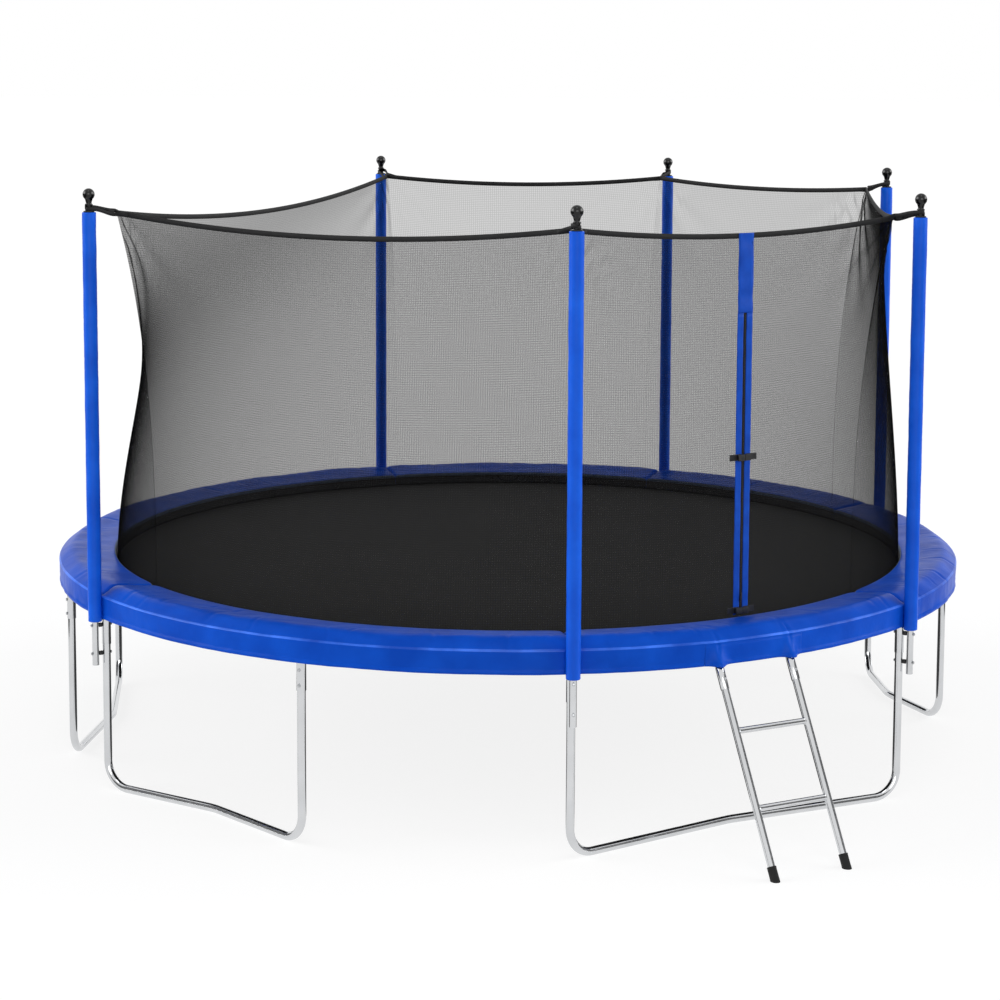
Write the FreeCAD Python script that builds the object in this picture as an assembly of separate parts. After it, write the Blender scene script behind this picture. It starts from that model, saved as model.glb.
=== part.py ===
import FreeCAD, Part
import math
import os

from FreeCAD import Vector

# A round garden trampoline with a safety net and a ladder, in millimetres, +Z up.
# A bearing is an angle in degrees seen from above, from the front (-Y) round towards +X.

# Frame: twelve curved rails, each with a swaged end that goes into the next one's bore
RING_R = 2270.0            # radius of the rails' centre line
RING_Z = 898.0             # height of the rails' centre line
TUBE_R = 19.0              # outer radius of rails and legs
TUBE_WALL = 1.5
RAIL_COUNT = 12
RAILS_PER_NODE = 2
FIRST_JOINT_DEG = 15.37    # bearing of the first joint between two rails
SWAGE_LENGTH = 60.0
SWAGE_CLEARANCE = 0.8
SOCKET_WALL = 2.0
SOCKET_CLEARANCE = 0.5
SOCKET_DROP = 193.0        # from the rail's centre line down to the socket's mouth
LEG_ROOM = 2.0             # from the rail's underside down to the leg's top
SEAT_ROOM = 1.0            # room over the leg's top in the socket
SCREW_RISE = 25.0          # of the lower socket screw over the socket's mouth

# Legs: bearings of each leg's two uprights
LEGS = {
    "leg_a": (-56.4, -23.4),
    "leg_b": (7.0, 53.9),
    "leg_c": (90.2, 116.2),
    "leg_d": (-108.6, -71.0),
    "leg_e": (156.0, 199.4),
}
LEG_BEND = 120.0           # centre line radius of the two corners
LEG_KINK = 80.0            # how far the base bends inwards at its middle
LEG_KINK_BEND = 300.0

# Poles: the uprights that carry one
POLE_LEGS = (("leg_a", 0), ("leg_b", 0), ("leg_b", 1), ("leg_c", 1), ("leg_e", 0), ("leg_e", 1))
POLE_OFFSET = 56.0         # from the upright's axis out to the pole's axis
POLE_R = 16.0
POLE_WALL = 1.5
POLE_FOOT_Z = 610.0
POLE_SPLIT_Z = 1650.0
POLE_TOP_Z = 2745.0
POLE_SWAGE = 80.0
BOLT_HEIGHTS = (800.0, 665.0)
BOLT_R = 4.0
BOLT_CLEARANCE = 0.4
BOLT_HEAD_R = 7.5          # across the corners
BOLT_HEAD = 5.5
SPACER_SIZE = 18.0

# Sleeves of foam with a cover
SLEEVE_R = 33.0
SLEEVE_FOOT_Z = 820.0

# Ball caps
BALL_R = 28.0
BALL_RISE = 43.7           # from the bead's top up to the ball's middle
CAP_FLANGE_R = 26.0
CAP_FLANGE = 6.0
CAP_NECK_R = 15.0
CAP_NECK = 26.0
CAP_BEAD_R = 20.0
CAP_BEAD = 6.0
CAP_THROAT_R = 10.0

# Mat and springs
MAT_GAP = 218.3            # from the rails' centre line in to the mat's edge
MAT_SIDES = 48
MAT_THICK = 3.0
HEM_WIDTH = 46.0
HEM_THICK = 2.5
SPRINGS_PER_RAIL = 8
SPRING_R = 7.0
RING_EYE = 32.0            # length and width of a triangular ring
EYE_THICK = 3.0

# Spring cover: a crowned pad with a skirt
PAD_LAP = 30.7             # how far the pad covers the mat's edge
PAD_OVERHANG = 32.0        # from the rails' centre line out to the skirt
PAD_CREST_IN = 36.0        # from the rails' centre line in to the pad's crest
PAD_INNER_TOP = 42.0       # heights above the pad's underside
PAD_CREST = 75.0
PAD_FOLD = 31.0
PAD_SWELL = 9.0            # how far the foam crowns over the straight lines of its section
SKIRT_THICK = 5.0
SKIRT_DROP = 84.0          # from the underside of the pad down to the skirt's hem
POLE_NOTCH = 3.0           # room between a sleeve and the pad

# Safety net
NET_ROOM = 13.0            # from the pad's inner edge in to the net's lower edge
NET_THICK = 2.0
NET_FOOT_Z = 902.0
NET_CORNER_REACH = 136.0   # from a pole's axis in to the net's corner
NET_CORNER_RISE = 5.0      # of the net's corners over the pole's top
NET_FLARE = 1.2            # how late, on the way up, the corners pull the net outwards
NET_LEAN = 1.6             # how late the round wall turns into the straight top edge
NET_STEP_DEG = 7.5         # bearing covered by one straight length of the lower edge
NET_ROWS = 4               # flat lengths from the lower edge to the hem
NET_SAGS = (75.0, 54.0, 38.0, 30.0, 42.0, 98.0)
HEM_HEIGHT = 24.0
LOOP_PITCH_DEG = 15.0
LOOP_WIDTH = 12.0
LOOP_THICK = 2.0
LOOP_Z = 908.0
STRAP_WIDTH = 20.0
STRAP_THICK = 3.0

# Door
DOOR_BEARING = 31.5
TAPE_WIDTH = 30.0
TAPE_THICK = 2.0
TAPE_ROOM = 1.0            # from the net's hem out to the tape
TAPE_FOOT_Z = 972.0
ZIP_WIDTH = 6.0
ZIP_ROOM = 1.0             # between the teeth and the net's edges
ZIP_TOP_Z = 2340.0
SLIDER_Z = 1042.0          # middle of the slider when the door is shut
SLIDER_LENGTH = 26.0
SLIDER_WIDTH = 12.0
SLIDER_THICK = 5.0
SLIDER_SHOULDER = 6.0
PULL_LENGTH = 34.0
PULL_WIDTH = 8.0
PULL_THICK = 1.6
PULL_LAP = 4.0             # how far the pull reaches below the slider's middle
BUCKLES = {"upper": 1690.0, "lower": 992.0}
BUCKLE_LENGTH = 36.0
BUCKLE_HEIGHT = 30.0
BUCKLE_THICK = 10.0
BUCKLE_RISE = 12.0         # from the tape out to the buckle's back
BUCKLE_WALL = 2.0
BUCKLE_MOUTH = 2.0         # from the zip's middle to the mouth of the body
TONGUE_REACH = 32.0        # from the zip's middle to the tongue's far end
PRONG_LENGTH = 14.0
PRONG_HEIGHT = 6.0
PRONG_ROOM = 0.5           # between a prong and the body's wall
PRONG_END_ROOM = 4.0       # past a prong's tip in the body
RISER_LENGTH = 18.0        # the strap's folded end that carries the buckle
RISER_ROOM = 7.0           # from the slider's edge to that fold
STITCH_REACH = 66.0        # from the zip to the far end of a buckle's strap
STITCH_THICK = 2.5
STITCH_HEIGHT = 24.0

# Ladder
LADDER_BEARING = 28.3
LADDER_HALF_WIDTH = 186.0
LADDER_STAND = 485.0       # from the rails' centre line out to the feet
SIDE_RAIL_R = 17.0
RUNG_R = 14.0
RUNG_HEIGHTS = (275.0, 575.0)
HOOK_TUBE_R = 19.6
HOOK_TUBE_FROM = 60.0      # distances along the side rail from the hook's centre
HOOK_TUBE_TO = 182.0
HOOK_WIDTH = 14.0          # the flat strip that is bent into the hook
HOOK_THICK = 6.0
HOOK_STRIP_TO = 86.0
HOOK_STEPS = 9
HOOK_TIP_DEG = 190.0       # angle at which the hook ends, past the top
FOOT_LENGTH = 62.0
FOOT_WALL = 3.0
SKIRT_SLIT = 5.0           # room beside a hook tube in the skirt
HOOK_ROOM = 4.0            # room beside a hook in the pad

# Small gap between pieces that touch
TOUCH = 0.3

# Radii that follow the frame
MAT_R = RING_R - MAT_GAP
PAD_INNER_R = MAT_R - PAD_LAP
PAD_OUTER_R = RING_R + PAD_OVERHANG
PAD_CREST_R = RING_R - PAD_CREST_IN
NET_R = PAD_INNER_R - NET_ROOM
POLE_RING_R = RING_R + POLE_OFFSET
NET_CORNER_R = POLE_RING_R - NET_CORNER_REACH
NET_CORNER_Z = POLE_TOP_Z + NET_CORNER_RISE
LADDER_FOOT_R = RING_R + LADDER_STAND

# Round pieces are many-sided, because there are so many of them
TUBE_SIDES = 12
RAIL_STEP_DEG = 6.0        # bearing covered by one flat length of a rail
PAD_STEP_DEG = 7.5         # the same for the spring cover
BEND_STEP_DEG = 22.5       # turn of one step in a bent leg
CAP_SIDES = 8
BALL_STEPS = 4
NUT_SIDES = 6


def polar(radius, bearing, height):
    turn = math.radians(bearing)
    return Vector(radius * math.sin(turn), -radius * math.cos(turn), height)


def outward(bearing):
    return polar(1.0, bearing, 0.0)


def sideways(bearing):
    turn = math.radians(bearing)
    return Vector(math.cos(turn), math.sin(turn), 0.0)


def local(shape, bearing):
    # A shape drawn with +X outwards and +Y sideways is turned to its bearing
    turned = shape.copy()
    turned.rotate(Vector(0, 0, 0), Vector(0, 0, 1), bearing - 90.0)
    return turned


def block(x0, x1, y0, y1, z0, z1):
    return Part.makeBox(x1 - x0, y1 - y0, z1 - z0, Vector(x0, y0, z0))


def circle_points(r, sides):
    turns = [2.0 * math.pi * i / sides for i in range(sides)]
    return [(r * math.cos(turn), r * math.sin(turn)) for turn in turns]


def solid_from_rings(rings):
    # Rings of points, joined by flat four-cornered faces and closed by a flat face at each end
    faces = [Part.Face(Part.makePolygon(ring + ring[:1])) for ring in (rings[0], rings[-1])]
    for low, high in zip(rings, rings[1:]):
        around = range(len(low))
        for i, k in zip(around, list(around)[1:] + [0]):
            faces.append(Part.Face(Part.makePolygon([low[i], low[k], high[k], high[i], low[i]])))
    solid = Part.Solid(Part.makeShell(faces))
    if solid.Volume < 0.0:
        solid.reverse()
    return solid


def straight_tube(start, end, r, towards=None, sides=TUBE_SIDES):
    # A many-sided bar; one of its corners points along towards
    along = (end - start).normalize()
    first = towards if towards else Vector(-along.y, along.x, 0.0)
    if first.Length < 0.1:
        first = Vector(1, 0, 0)
    first = (first - along * first.dot(along)).normalize()
    second = along.cross(first)
    return solid_from_rings([[base + first * x + second * y for x, y in circle_points(r, sides)]
                             for base in (start, end)])


def bent_tube(points, bends, r):
    # A many-sided tube on straight runs and bends, mitred at each step of a bend
    path = bend_steps(points, bends)
    along = (path[1] - path[0]).normalize()
    turned = next(d for d in ((b - a).normalize() for a, b in zip(path, path[1:])) if d.dot(along) < 0.99)
    first = (turned - along * turned.dot(along)).normalize()
    second = along.cross(first)
    rings = [[path[0] + first * x + second * y for x, y in circle_points(r, TUBE_SIDES)]]
    for here, there in zip(path[1:], path[2:] + [None]):
        after = (there - here).normalize() if there else along
        normal = along + after
        rings.append([p + along * ((here - p).dot(normal) / along.dot(normal)) for p in rings[-1]])
        along = after
    return solid_from_rings(rings)


def bend_steps(points, bends):
    # The tube's path: each inner point becomes a short run of points on its bend
    path = [points[0]]
    for before, corner, after, radius in zip(points, points[1:], points[2:], bends):
        to_before = (before - corner).normalize()
        to_after = (after - corner).normalize()
        half = to_before.getAngle(to_after) / 2.0
        bisector = (to_before + to_after).normalize()
        centre = corner + bisector * (radius / math.sin(half))
        spoke = corner + to_before * (radius / math.tan(half)) - centre
        across = corner + to_after * (radius / math.tan(half)) - centre
        turn = math.pi - 2.0 * half
        steps = max(1, round(math.degrees(turn) / BEND_STEP_DEG))
        square = (across - spoke * math.cos(turn)) * (1.0 / math.sin(turn))
        for i in range(steps + 1):
            angle = turn * i / steps
            path.append(centre + spoke * math.cos(angle) + square * math.sin(angle))
    return path + [points[-1]]


def ring_piece(profile, start, end, step):
    # A profile of (radius, height) points, taken round the trampoline's axis
    steps = max(1, round((end - start) / step))
    bearings = [start + (end - start) * i / steps for i in range(steps + 1)]
    return solid_from_rings([[polar(r, bearing, z) for r, z in profile] for bearing in bearings])


def tube_arc(r, start, end):
    profile = [(RING_R + x, RING_Z + z) for x, z in circle_points(r, TUBE_SIDES)]
    return ring_piece(profile, start, end, RAIL_STEP_DEG)


def upright(radius, bearing, r, z0, z1):
    return straight_tube(polar(radius, bearing, z0), polar(radius, bearing, z1), r, outward(bearing))


def bore_radius(r, clearance):
    # A many-sided bore whose flats clear the corners of what goes in
    return (r + clearance) / math.cos(math.pi / TUBE_SIDES)


def pole_bearings():
    return [LEGS[leg][end] for leg, end in POLE_LEGS]


def span_to(start, end):
    # The end bearing, counted on from the start
    return end if end > start else end + 360.0


# Frame rails with the leg sockets welded under them

SOCKET_R = bore_radius(TUBE_R, SOCKET_CLEARANCE) + SOCKET_WALL
SOCKET_FOOT_Z = RING_Z - SOCKET_DROP
LEG_TOP_Z = RING_Z - TUBE_R - LEG_ROOM
SOCKET_SEAT_Z = LEG_TOP_Z + SEAT_ROOM


def socket_outside(bearing):
    return upright(RING_R, bearing, SOCKET_R, SOCKET_FOOT_Z, RING_Z - TUBE_R / 2.0)


def socket_bore(bearing):
    return upright(RING_R, bearing, bore_radius(TUBE_R, SOCKET_CLEARANCE), SOCKET_FOOT_Z, SOCKET_SEAT_Z)


def bolt_hole(bearing, height, inner_radius, outer_radius):
    start = polar(inner_radius, bearing, height)
    end = polar(outer_radius, bearing, height)
    return straight_tube(start, end, BOLT_R + BOLT_CLEARANCE, sides=NUT_SIDES)


def cross_hole(bearing, height, middle, r):
    # A bolt hole right through an upright tube of radius r
    return bolt_hole(bearing, height, middle - 2.0 * r, middle + 2.0 * r)


RAIL_SPAN = 360.0 / RAIL_COUNT
SWAGE_SPAN = math.degrees(SWAGE_LENGTH / RING_R)
BORED_SPAN = SWAGE_SPAN + math.degrees(TUBE_WALL / RING_R)


def rail_inside(radius, bearing, half_width):
    # Distance from the axis at which a piece of this half width clears a rail's flat length
    past_joint = (bearing - FIRST_JOINT_DEG) % RAIL_SPAN
    flats = round((RAIL_SPAN - BORED_SPAN) / RAIL_STEP_DEG)
    flat = (RAIL_SPAN - BORED_SPAN) / flats
    if past_joint < BORED_SPAN:
        flat, past = BORED_SPAN, past_joint
    else:
        past = (past_joint - BORED_SPAN) % flat
    half = math.radians(flat / 2.0)
    return radius * math.cos(half) / math.cos(math.radians(past) - half) - half_width * math.tan(half)


def frame_rail(index):
    start = FIRST_JOINT_DEG + index * RAIL_SPAN
    end = start + RAIL_SPAN
    bore_r = bore_radius(TUBE_R - 2.0 * TUBE_WALL, 0.0)
    bored = start + BORED_SPAN
    mouth = tube_arc(TUBE_R, start, bored).cut(tube_arc(bore_r, start, bored))
    body = tube_arc(TUBE_R, bored, end)
    spigot = tube_arc(TUBE_R - 2.0 * TUBE_WALL - SWAGE_CLEARANCE, end, end + SWAGE_SPAN)
    rail = body.fuse([mouth, spigot])
    for uprights in LEGS.values():
        for bearing in uprights:
            if start < bearing % 360.0 < end or start < bearing % 360.0 + 360.0 < end:
                rail = rail.fuse(socket_outside(bearing)).cut(socket_bore(bearing))
                if bearing in pole_bearings():
                    rail = rail.cut(cross_hole(bearing, BOLT_HEIGHTS[0], RING_R, TUBE_R))
    return rail.removeSplitter()


def frame_rails(group):
    first = group * RAILS_PER_NODE
    return [frame_rail(first + i) for i in range(RAILS_PER_NODE)]


# Legs: one tube each, bent at two corners, with a shallow bend in the base

def leg(name):
    first, second = LEGS[name]
    second = span_to(first, second)
    middle = (first + second) / 2.0
    chord_r = RING_R * math.cos(math.radians((second - first) / 2.0))
    points = [
        polar(RING_R, first, LEG_TOP_Z),
        polar(RING_R, first, TUBE_R),
        polar(chord_r - LEG_KINK, middle, TUBE_R),
        polar(RING_R, second, TUBE_R),
        polar(RING_R, second, LEG_TOP_Z),
    ]
    shape = bent_tube(points, (LEG_BEND, LEG_KINK_BEND, LEG_BEND), TUBE_R)
    for bearing in LEGS[name]:
        if bearing in pole_bearings():
            for height in BOLT_HEIGHTS:
                shape = shape.cut(cross_hole(bearing, height, RING_R, TUBE_R))
    return [shape]


# Net poles, their spacers and bolts

def lower_pole(bearing):
    outside = upright(POLE_RING_R, bearing, POLE_R, POLE_FOOT_Z, POLE_SPLIT_Z)
    bore = upright(POLE_RING_R, bearing, POLE_R - POLE_WALL, POLE_FOOT_Z, POLE_SPLIT_Z)
    tube = outside.cut(bore)
    for height in BOLT_HEIGHTS:
        tube = tube.cut(cross_hole(bearing, height, POLE_RING_R, POLE_R))
    return tube


def upper_pole(bearing):
    spigot_r = POLE_R - POLE_WALL - TOUCH
    spigot = upright(POLE_RING_R, bearing, spigot_r, POLE_SPLIT_Z - POLE_SWAGE, POLE_SPLIT_Z)
    tube = upright(POLE_RING_R, bearing, POLE_R, POLE_SPLIT_Z, POLE_TOP_Z)
    return tube.fuse(spigot)


def bolt_seats(height):
    # Radii of the faces that a bolt clamps: inside of the leg, outside of the leg
    carried = SOCKET_R if height > SOCKET_FOOT_Z else TUBE_R
    return RING_R - carried, RING_R + carried


def pole_spacer(bearing, height):
    inner = bolt_seats(height)[1] + TOUCH
    outer = POLE_RING_R - POLE_R - TOUCH
    half = SPACER_SIZE / 2.0
    piece = local(block(inner, outer, -half, half, height - half, height + half), bearing)
    return piece.cut(bolt_hole(bearing, height, inner - 1.0, outer + 1.0))


def hexagon(start, direction):
    end = start + direction * (BOLT_HEAD / direction.Length)
    return straight_tube(start, end, BOLT_HEAD_R, sides=NUT_SIDES)


def pole_bolt(bearing, height):
    nut_face = bolt_seats(height)[0] - TOUCH
    head_face = POLE_RING_R + POLE_R + TOUCH
    direction = outward(bearing)
    shank = straight_tube(polar(nut_face - BOLT_HEAD, bearing, height), polar(head_face, bearing, height),
                          BOLT_R, sides=NUT_SIDES)
    nut = hexagon(polar(nut_face - BOLT_HEAD, bearing, height), direction)
    return shank.fuse([hexagon(polar(head_face, bearing, height), direction), nut])


def socket_screw(bearing, height):
    # A short screw that locks a leg in its socket
    return hexagon(polar(RING_R + SOCKET_R + TOUCH, bearing, height), outward(bearing))


# Foam sleeves and ball caps

def sleeve(bearing):
    outside = upright(POLE_RING_R, bearing, SLEEVE_R, SLEEVE_FOOT_Z, POLE_TOP_Z)
    bore = upright(POLE_RING_R, bearing, bore_radius(POLE_R, TOUCH), SLEEVE_FOOT_Z, POLE_TOP_Z)
    return outside.cut(bore)


CAP_FOOT_Z = POLE_TOP_Z + TOUCH
NECK_FOOT_Z = CAP_FOOT_Z + CAP_FLANGE
BEAD_FOOT_Z = NECK_FOOT_Z + CAP_NECK
BALL_Z = BEAD_FOOT_Z + CAP_BEAD + BALL_RISE


def lathe(outline, tip_z, place):
    # Rings of points from the flat foot up to one point at the top
    rings = [[place + Vector(x, y, z) for x, y in circle_points(r, CAP_SIDES)] for r, z in outline]
    tip = place + Vector(0, 0, tip_z)
    faces = [Part.Face(Part.makePolygon(rings[0] + rings[0][:1]))]
    for low, high in zip(rings, rings[1:]):
        for i in range(CAP_SIDES):
            k = (i + 1) % CAP_SIDES
            faces.append(Part.Face(Part.makePolygon([low[i], low[k], high[k], high[i], low[i]])))
    top = rings[-1]
    for a, b in zip(top, top[1:] + top[:1]):
        faces.append(Part.Face(Part.makePolygon([a, b, tip, a])))
    solid = Part.Solid(Part.makeShell(faces))
    if solid.Volume < 0.0:
        solid.reverse()
    return solid


def pole_cap(bearing):
    throat_z = BALL_Z - math.sqrt(BALL_R ** 2 - CAP_THROAT_R ** 2)
    outline = [
        (CAP_FLANGE_R, CAP_FOOT_Z),
        (CAP_FLANGE_R - CAP_FLANGE / 2.0, NECK_FOOT_Z),
        (CAP_NECK_R, NECK_FOOT_Z),
        (CAP_NECK_R, BEAD_FOOT_Z),
        (CAP_BEAD_R, BEAD_FOOT_Z),
        (CAP_BEAD_R, BEAD_FOOT_Z + CAP_BEAD),
        (CAP_THROAT_R, throat_z),
    ]
    start = math.asin(CAP_THROAT_R / BALL_R)
    for i in range(1, BALL_STEPS):
        turn = start + (math.pi - start) * i / BALL_STEPS
        outline.append((BALL_R * math.sin(turn), BALL_Z - BALL_R * math.cos(turn)))
    return lathe(outline, BALL_Z + BALL_R, polar(POLE_RING_R, bearing, 0.0))


# Jumping mat, its hem, triangular rings and springs

def many_sided(radius, z0, z1):
    start, end = Vector(0, 0, z0), Vector(0, 0, z1)
    return straight_tube(start, end, radius, outward(FIRST_JOINT_DEG), MAT_SIDES)


MAT_TOP_Z = RING_Z + MAT_THICK / 2.0
MAT_FOOT_Z = RING_Z - MAT_THICK / 2.0
MAT_FLAT_R = MAT_R * math.cos(math.pi / MAT_SIDES)


def mat_hem():
    band = many_sided(MAT_R, MAT_FOOT_Z - HEM_THICK, MAT_FOOT_Z)
    return band.cut(many_sided(MAT_R - HEM_WIDTH, MAT_FOOT_Z - HEM_THICK, MAT_FOOT_Z))


def spring_bearings():
    count = RAIL_COUNT * SPRINGS_PER_RAIL
    return [FIRST_JOINT_DEG + (i + 0.5) * 360.0 / count for i in range(count)]


def eye_seat():
    # Where a ring's straight side clears the mat's edge, which is at a slant to it
    slant = math.pi / MAT_SIDES / 2.0
    return MAT_FLAT_R / math.cos(slant) + RING_EYE / 2.0 * math.sin(slant) + TOUCH


def spring_eye(bearing):
    start = eye_seat()
    z0 = RING_Z - EYE_THICK / 2.0
    corners = [(start, -RING_EYE / 2.0), (start + RING_EYE, 0.0), (start, RING_EYE / 2.0)]
    points = [Vector(x, y, z0) for x, y in corners]
    face = Part.Face(Part.makePolygon(points + points[:1]))
    return local(face.extrude(Vector(0, 0, EYE_THICK)), bearing)


def spring(bearing):
    start = eye_seat() + RING_EYE + TOUCH
    end = rail_inside(RING_R - TUBE_R, bearing, SPRING_R) - TOUCH
    return straight_tube(polar(start, bearing, RING_Z), polar(end, bearing, RING_Z), SPRING_R,
                         sides=NUT_SIDES)


# Spring cover in sectors that meet at the poles

PAD_FOOT_Z = RING_Z + TUBE_R + TOUCH


def pad_outline():
    z = PAD_FOOT_Z
    return [
        (PAD_INNER_R, z),
        (PAD_INNER_R, z + PAD_INNER_TOP),
        ((PAD_INNER_R + PAD_CREST_R) / 2.0, z + (PAD_INNER_TOP + PAD_CREST) / 2.0 + PAD_SWELL),
        (PAD_CREST_R, z + PAD_CREST),
        ((PAD_CREST_R + PAD_OUTER_R) / 2.0, z + PAD_CREST - PAD_SWELL),
        (PAD_OUTER_R, z + PAD_FOLD),
        (PAD_OUTER_R, z - SKIRT_DROP),
        (PAD_OUTER_R - SKIRT_THICK, z - SKIRT_DROP),
        (PAD_OUTER_R - SKIRT_THICK, z),
    ]


def pad_sector(start, end):
    seam = math.degrees(TOUCH / 2.0 / PAD_INNER_R)
    shape = ring_piece(pad_outline(), start + seam, end - seam, PAD_STEP_DEG)
    for bearing in (start, end):
        notch = upright(POLE_RING_R, bearing, SLEEVE_R + POLE_NOTCH, PAD_FOOT_Z - SKIRT_DROP - 1.0,
                        PAD_FOOT_Z + PAD_CREST + 1.0)
        shape = shape.cut(notch)
    if start < LADDER_BEARING < end:
        for side in (-1, 1):
            shape = shape.cut(hook_pocket(side)).cut(skirt_slit(side))
    return shape


# Safety net: panels from the round lower edge to the straight top of each bay, drawn in below the
# corners that hold them

def net_bays():
    ends = pole_bearings()
    return [(a, span_to(a, b)) for a, b in zip(ends, ends[1:] + ends[:1])]


DOOR_BAY = net_bays()[1]
DOOR_SHARE = (DOOR_BEARING - DOOR_BAY[0]) / (DOOR_BAY[1] - DOOR_BAY[0])


def net_point(bay, share, level, offset):
    # level 0 is the lower edge and 1 the top of the hem, which sags between its corners
    start, end = bay
    foot = polar(NET_R, start + share * (end - start), NET_FOOT_Z)
    # The door's tapes keep the middle of their bay straight
    freedom = (1.0 - 2.0 * share) ** 2 if bay == net_bays()[1] else 1.0
    corner_r = NET_R + (NET_CORNER_R - NET_R) * level ** (NET_FLARE * freedom)
    lean = level ** (1.0 + (NET_LEAN - 1.0) * freedom)
    corner_a = polar(corner_r, start, 0.0)
    corner_b = polar(corner_r, end, 0.0)
    sag = NET_SAGS[net_bays().index(bay)]
    head = corner_a + (corner_b - corner_a) * share
    head.z = NET_CORNER_Z - sag * 4.0 * share * (1.0 - share)
    point = foot + (head - foot) * lean
    point.z = foot.z + (head.z - foot.z) * level
    flat = Vector(point.x, point.y, 0.0).normalize()
    return point + flat * offset


def facets(lower, upper):
    # Two rows of points joined by flat three-cornered faces
    faces = []
    for a, b, c, d in zip(lower, lower[1:], upper[1:], upper):
        for corners in ((a, b, c), (a, c, d)):
            faces.append(Part.Face(Part.makePolygon(corners + corners[:1])))
    return faces


def net_shares(bay, first, last):
    # Even steps along a part of a bay, each about one straight length of the lower edge
    steps = max(1, round((last - first) * (bay[1] - bay[0]) / NET_STEP_DEG))
    return [first + (last - first) * i / steps for i in range(steps + 1)]


def net_strip(bay, shares, rows, thick):
    # rows run from the lower to the upper edge, each a level and a distance below it
    sides = []
    for half in (thick / 2.0, -thick / 2.0):
        sides.append([[net_point(bay, s, level, half) - Vector(0, 0, drop) for s in shares]
                      for level, drop in rows])
    outer, inner = sides
    faces = []
    for side in sides:
        for low, high in zip(side, side[1:]):
            faces += facets(low, high)
    for end in (0, -1):
        faces += facets(outer[end], inner[end])
        faces += facets([row[end] for row in outer], [row[end] for row in inner])
    solid = Part.Solid(Part.makeShell(faces))
    if solid.Volume < 0.0:
        solid.reverse()
    return solid


def net_panel(bay, first=0.0, last=1.0):
    rows = [(i / NET_ROWS, (HEM_HEIGHT + TOUCH) * i / NET_ROWS) for i in range(NET_ROWS + 1)]
    return net_strip(bay, net_shares(bay, first, last), rows, NET_THICK)


def seam_share(bay, distance):
    return distance / (math.radians(bay[1] - bay[0]) * NET_R)


def net_panels():
    names = ("net_front_left", "net_door", "net_right", "net_back_right", "net_back", "net_left")
    panels = {}
    for name, bay in zip(names, net_bays()):
        seam = seam_share(bay, TOUCH / 2.0)
        if bay == DOOR_BAY:
            edge = seam_share(bay, ZIP_WIDTH / 2.0 + ZIP_ROOM)
            panels["net_door_left"] = [net_panel(bay, seam, DOOR_SHARE - edge)]
            panels["net_door_right"] = [net_panel(bay, DOOR_SHARE + edge, 1.0 - seam)]
        else:
            panels[name] = [net_panel(bay, seam, 1.0 - seam)]
    return panels


def net_top_hem():
    hems = []
    for bay in net_bays():
        seam = seam_share(bay, TOUCH / 2.0)
        shares = net_shares(bay, seam, 1.0 - seam)
        if bay == DOOR_BAY:
            shares = net_shares(bay, seam, DOOR_SHARE) + net_shares(bay, DOOR_SHARE, 1.0 - seam)[1:]
        hems.append(net_strip(bay, shares, ((1.0, HEM_HEIGHT), (1.0, 0.0)), NET_THICK))
    return hems


def net_strap(bearing):
    # A loop round the cap's neck with a tail down to the corner of the net
    foot_z = NECK_FOOT_Z + TOUCH
    head_z = BEAD_FOOT_Z - TOUCH
    axis_foot, axis_head = Vector(POLE_RING_R, 0, foot_z), Vector(POLE_RING_R, 0, head_z)
    bore_r = (CAP_NECK_R + TOUCH) / math.cos(math.pi / CAP_SIDES)
    loop = straight_tube(axis_foot, axis_head, bore_r + STRAP_THICK, Vector(1, 0, 0), CAP_SIDES)
    half = STRAP_WIDTH / 2.0
    start = NET_CORNER_R + NET_THICK / 2.0 + TOUCH
    corner_z = NET_CORNER_Z - HEM_HEIGHT
    join_r = POLE_RING_R - CAP_NECK_R
    flange_r = POLE_RING_R - CAP_FLANGE_R - 2.0
    outline = [(start, corner_z), (start, NET_CORNER_Z), (join_r, head_z), (join_r, foot_z),
               (flange_r, foot_z)]
    points = [Vector(r, -half, z) for r, z in outline]
    tail = Part.Face(Part.makePolygon(points + points[:1])).extrude(Vector(0, STRAP_WIDTH, 0))
    past = Vector(0, 0, CAP_NECK)
    neck = straight_tube(axis_foot - past, axis_head + past, bore_r, Vector(1, 0, 0), CAP_SIDES)
    return local(loop.fuse(tail).cut(neck), bearing)


def net_loop(bearing):
    # A flat loop from the net's lower edge, over the springs, to the inside of the frame
    start = NET_R + NET_THICK / 2.0 + TOUCH
    rise = LOOP_Z - RING_Z
    face_r = RING_R - math.sqrt(TUBE_R ** 2 - rise ** 2)
    end = rail_inside(face_r, bearing, LOOP_WIDTH / 2.0) - TOUCH
    half = LOOP_WIDTH / 2.0
    return local(block(start, end, -half, half, LOOP_Z, LOOP_Z + LOOP_THICK), bearing)


# Door: tapes, zip, slider and buckles, drawn with +X outwards from the net

DOOR_HEAD = net_point(DOOR_BAY, DOOR_SHARE, 1.0, NET_THICK / 2.0)
DOOR_FACE_R = max(math.hypot(DOOR_HEAD.x, DOOR_HEAD.y), NET_R + NET_THICK / 2.0) + TAPE_ROOM
TAPE_FACE_R = DOOR_FACE_R + TAPE_THICK


def door_tapes():
    near = ZIP_WIDTH / 2.0 + TOUCH
    far = near + TAPE_WIDTH
    left = block(DOOR_FACE_R, TAPE_FACE_R, -far, -near, TAPE_FOOT_Z, ZIP_TOP_Z)
    right = block(DOOR_FACE_R, TAPE_FACE_R, near, far, TAPE_FOOT_Z, ZIP_TOP_Z)
    header = block(DOOR_FACE_R, TAPE_FACE_R, -far, far, ZIP_TOP_Z + TOUCH, DOOR_HEAD.z)
    return [local(piece, DOOR_BEARING) for piece in (left, right, header)]


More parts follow.
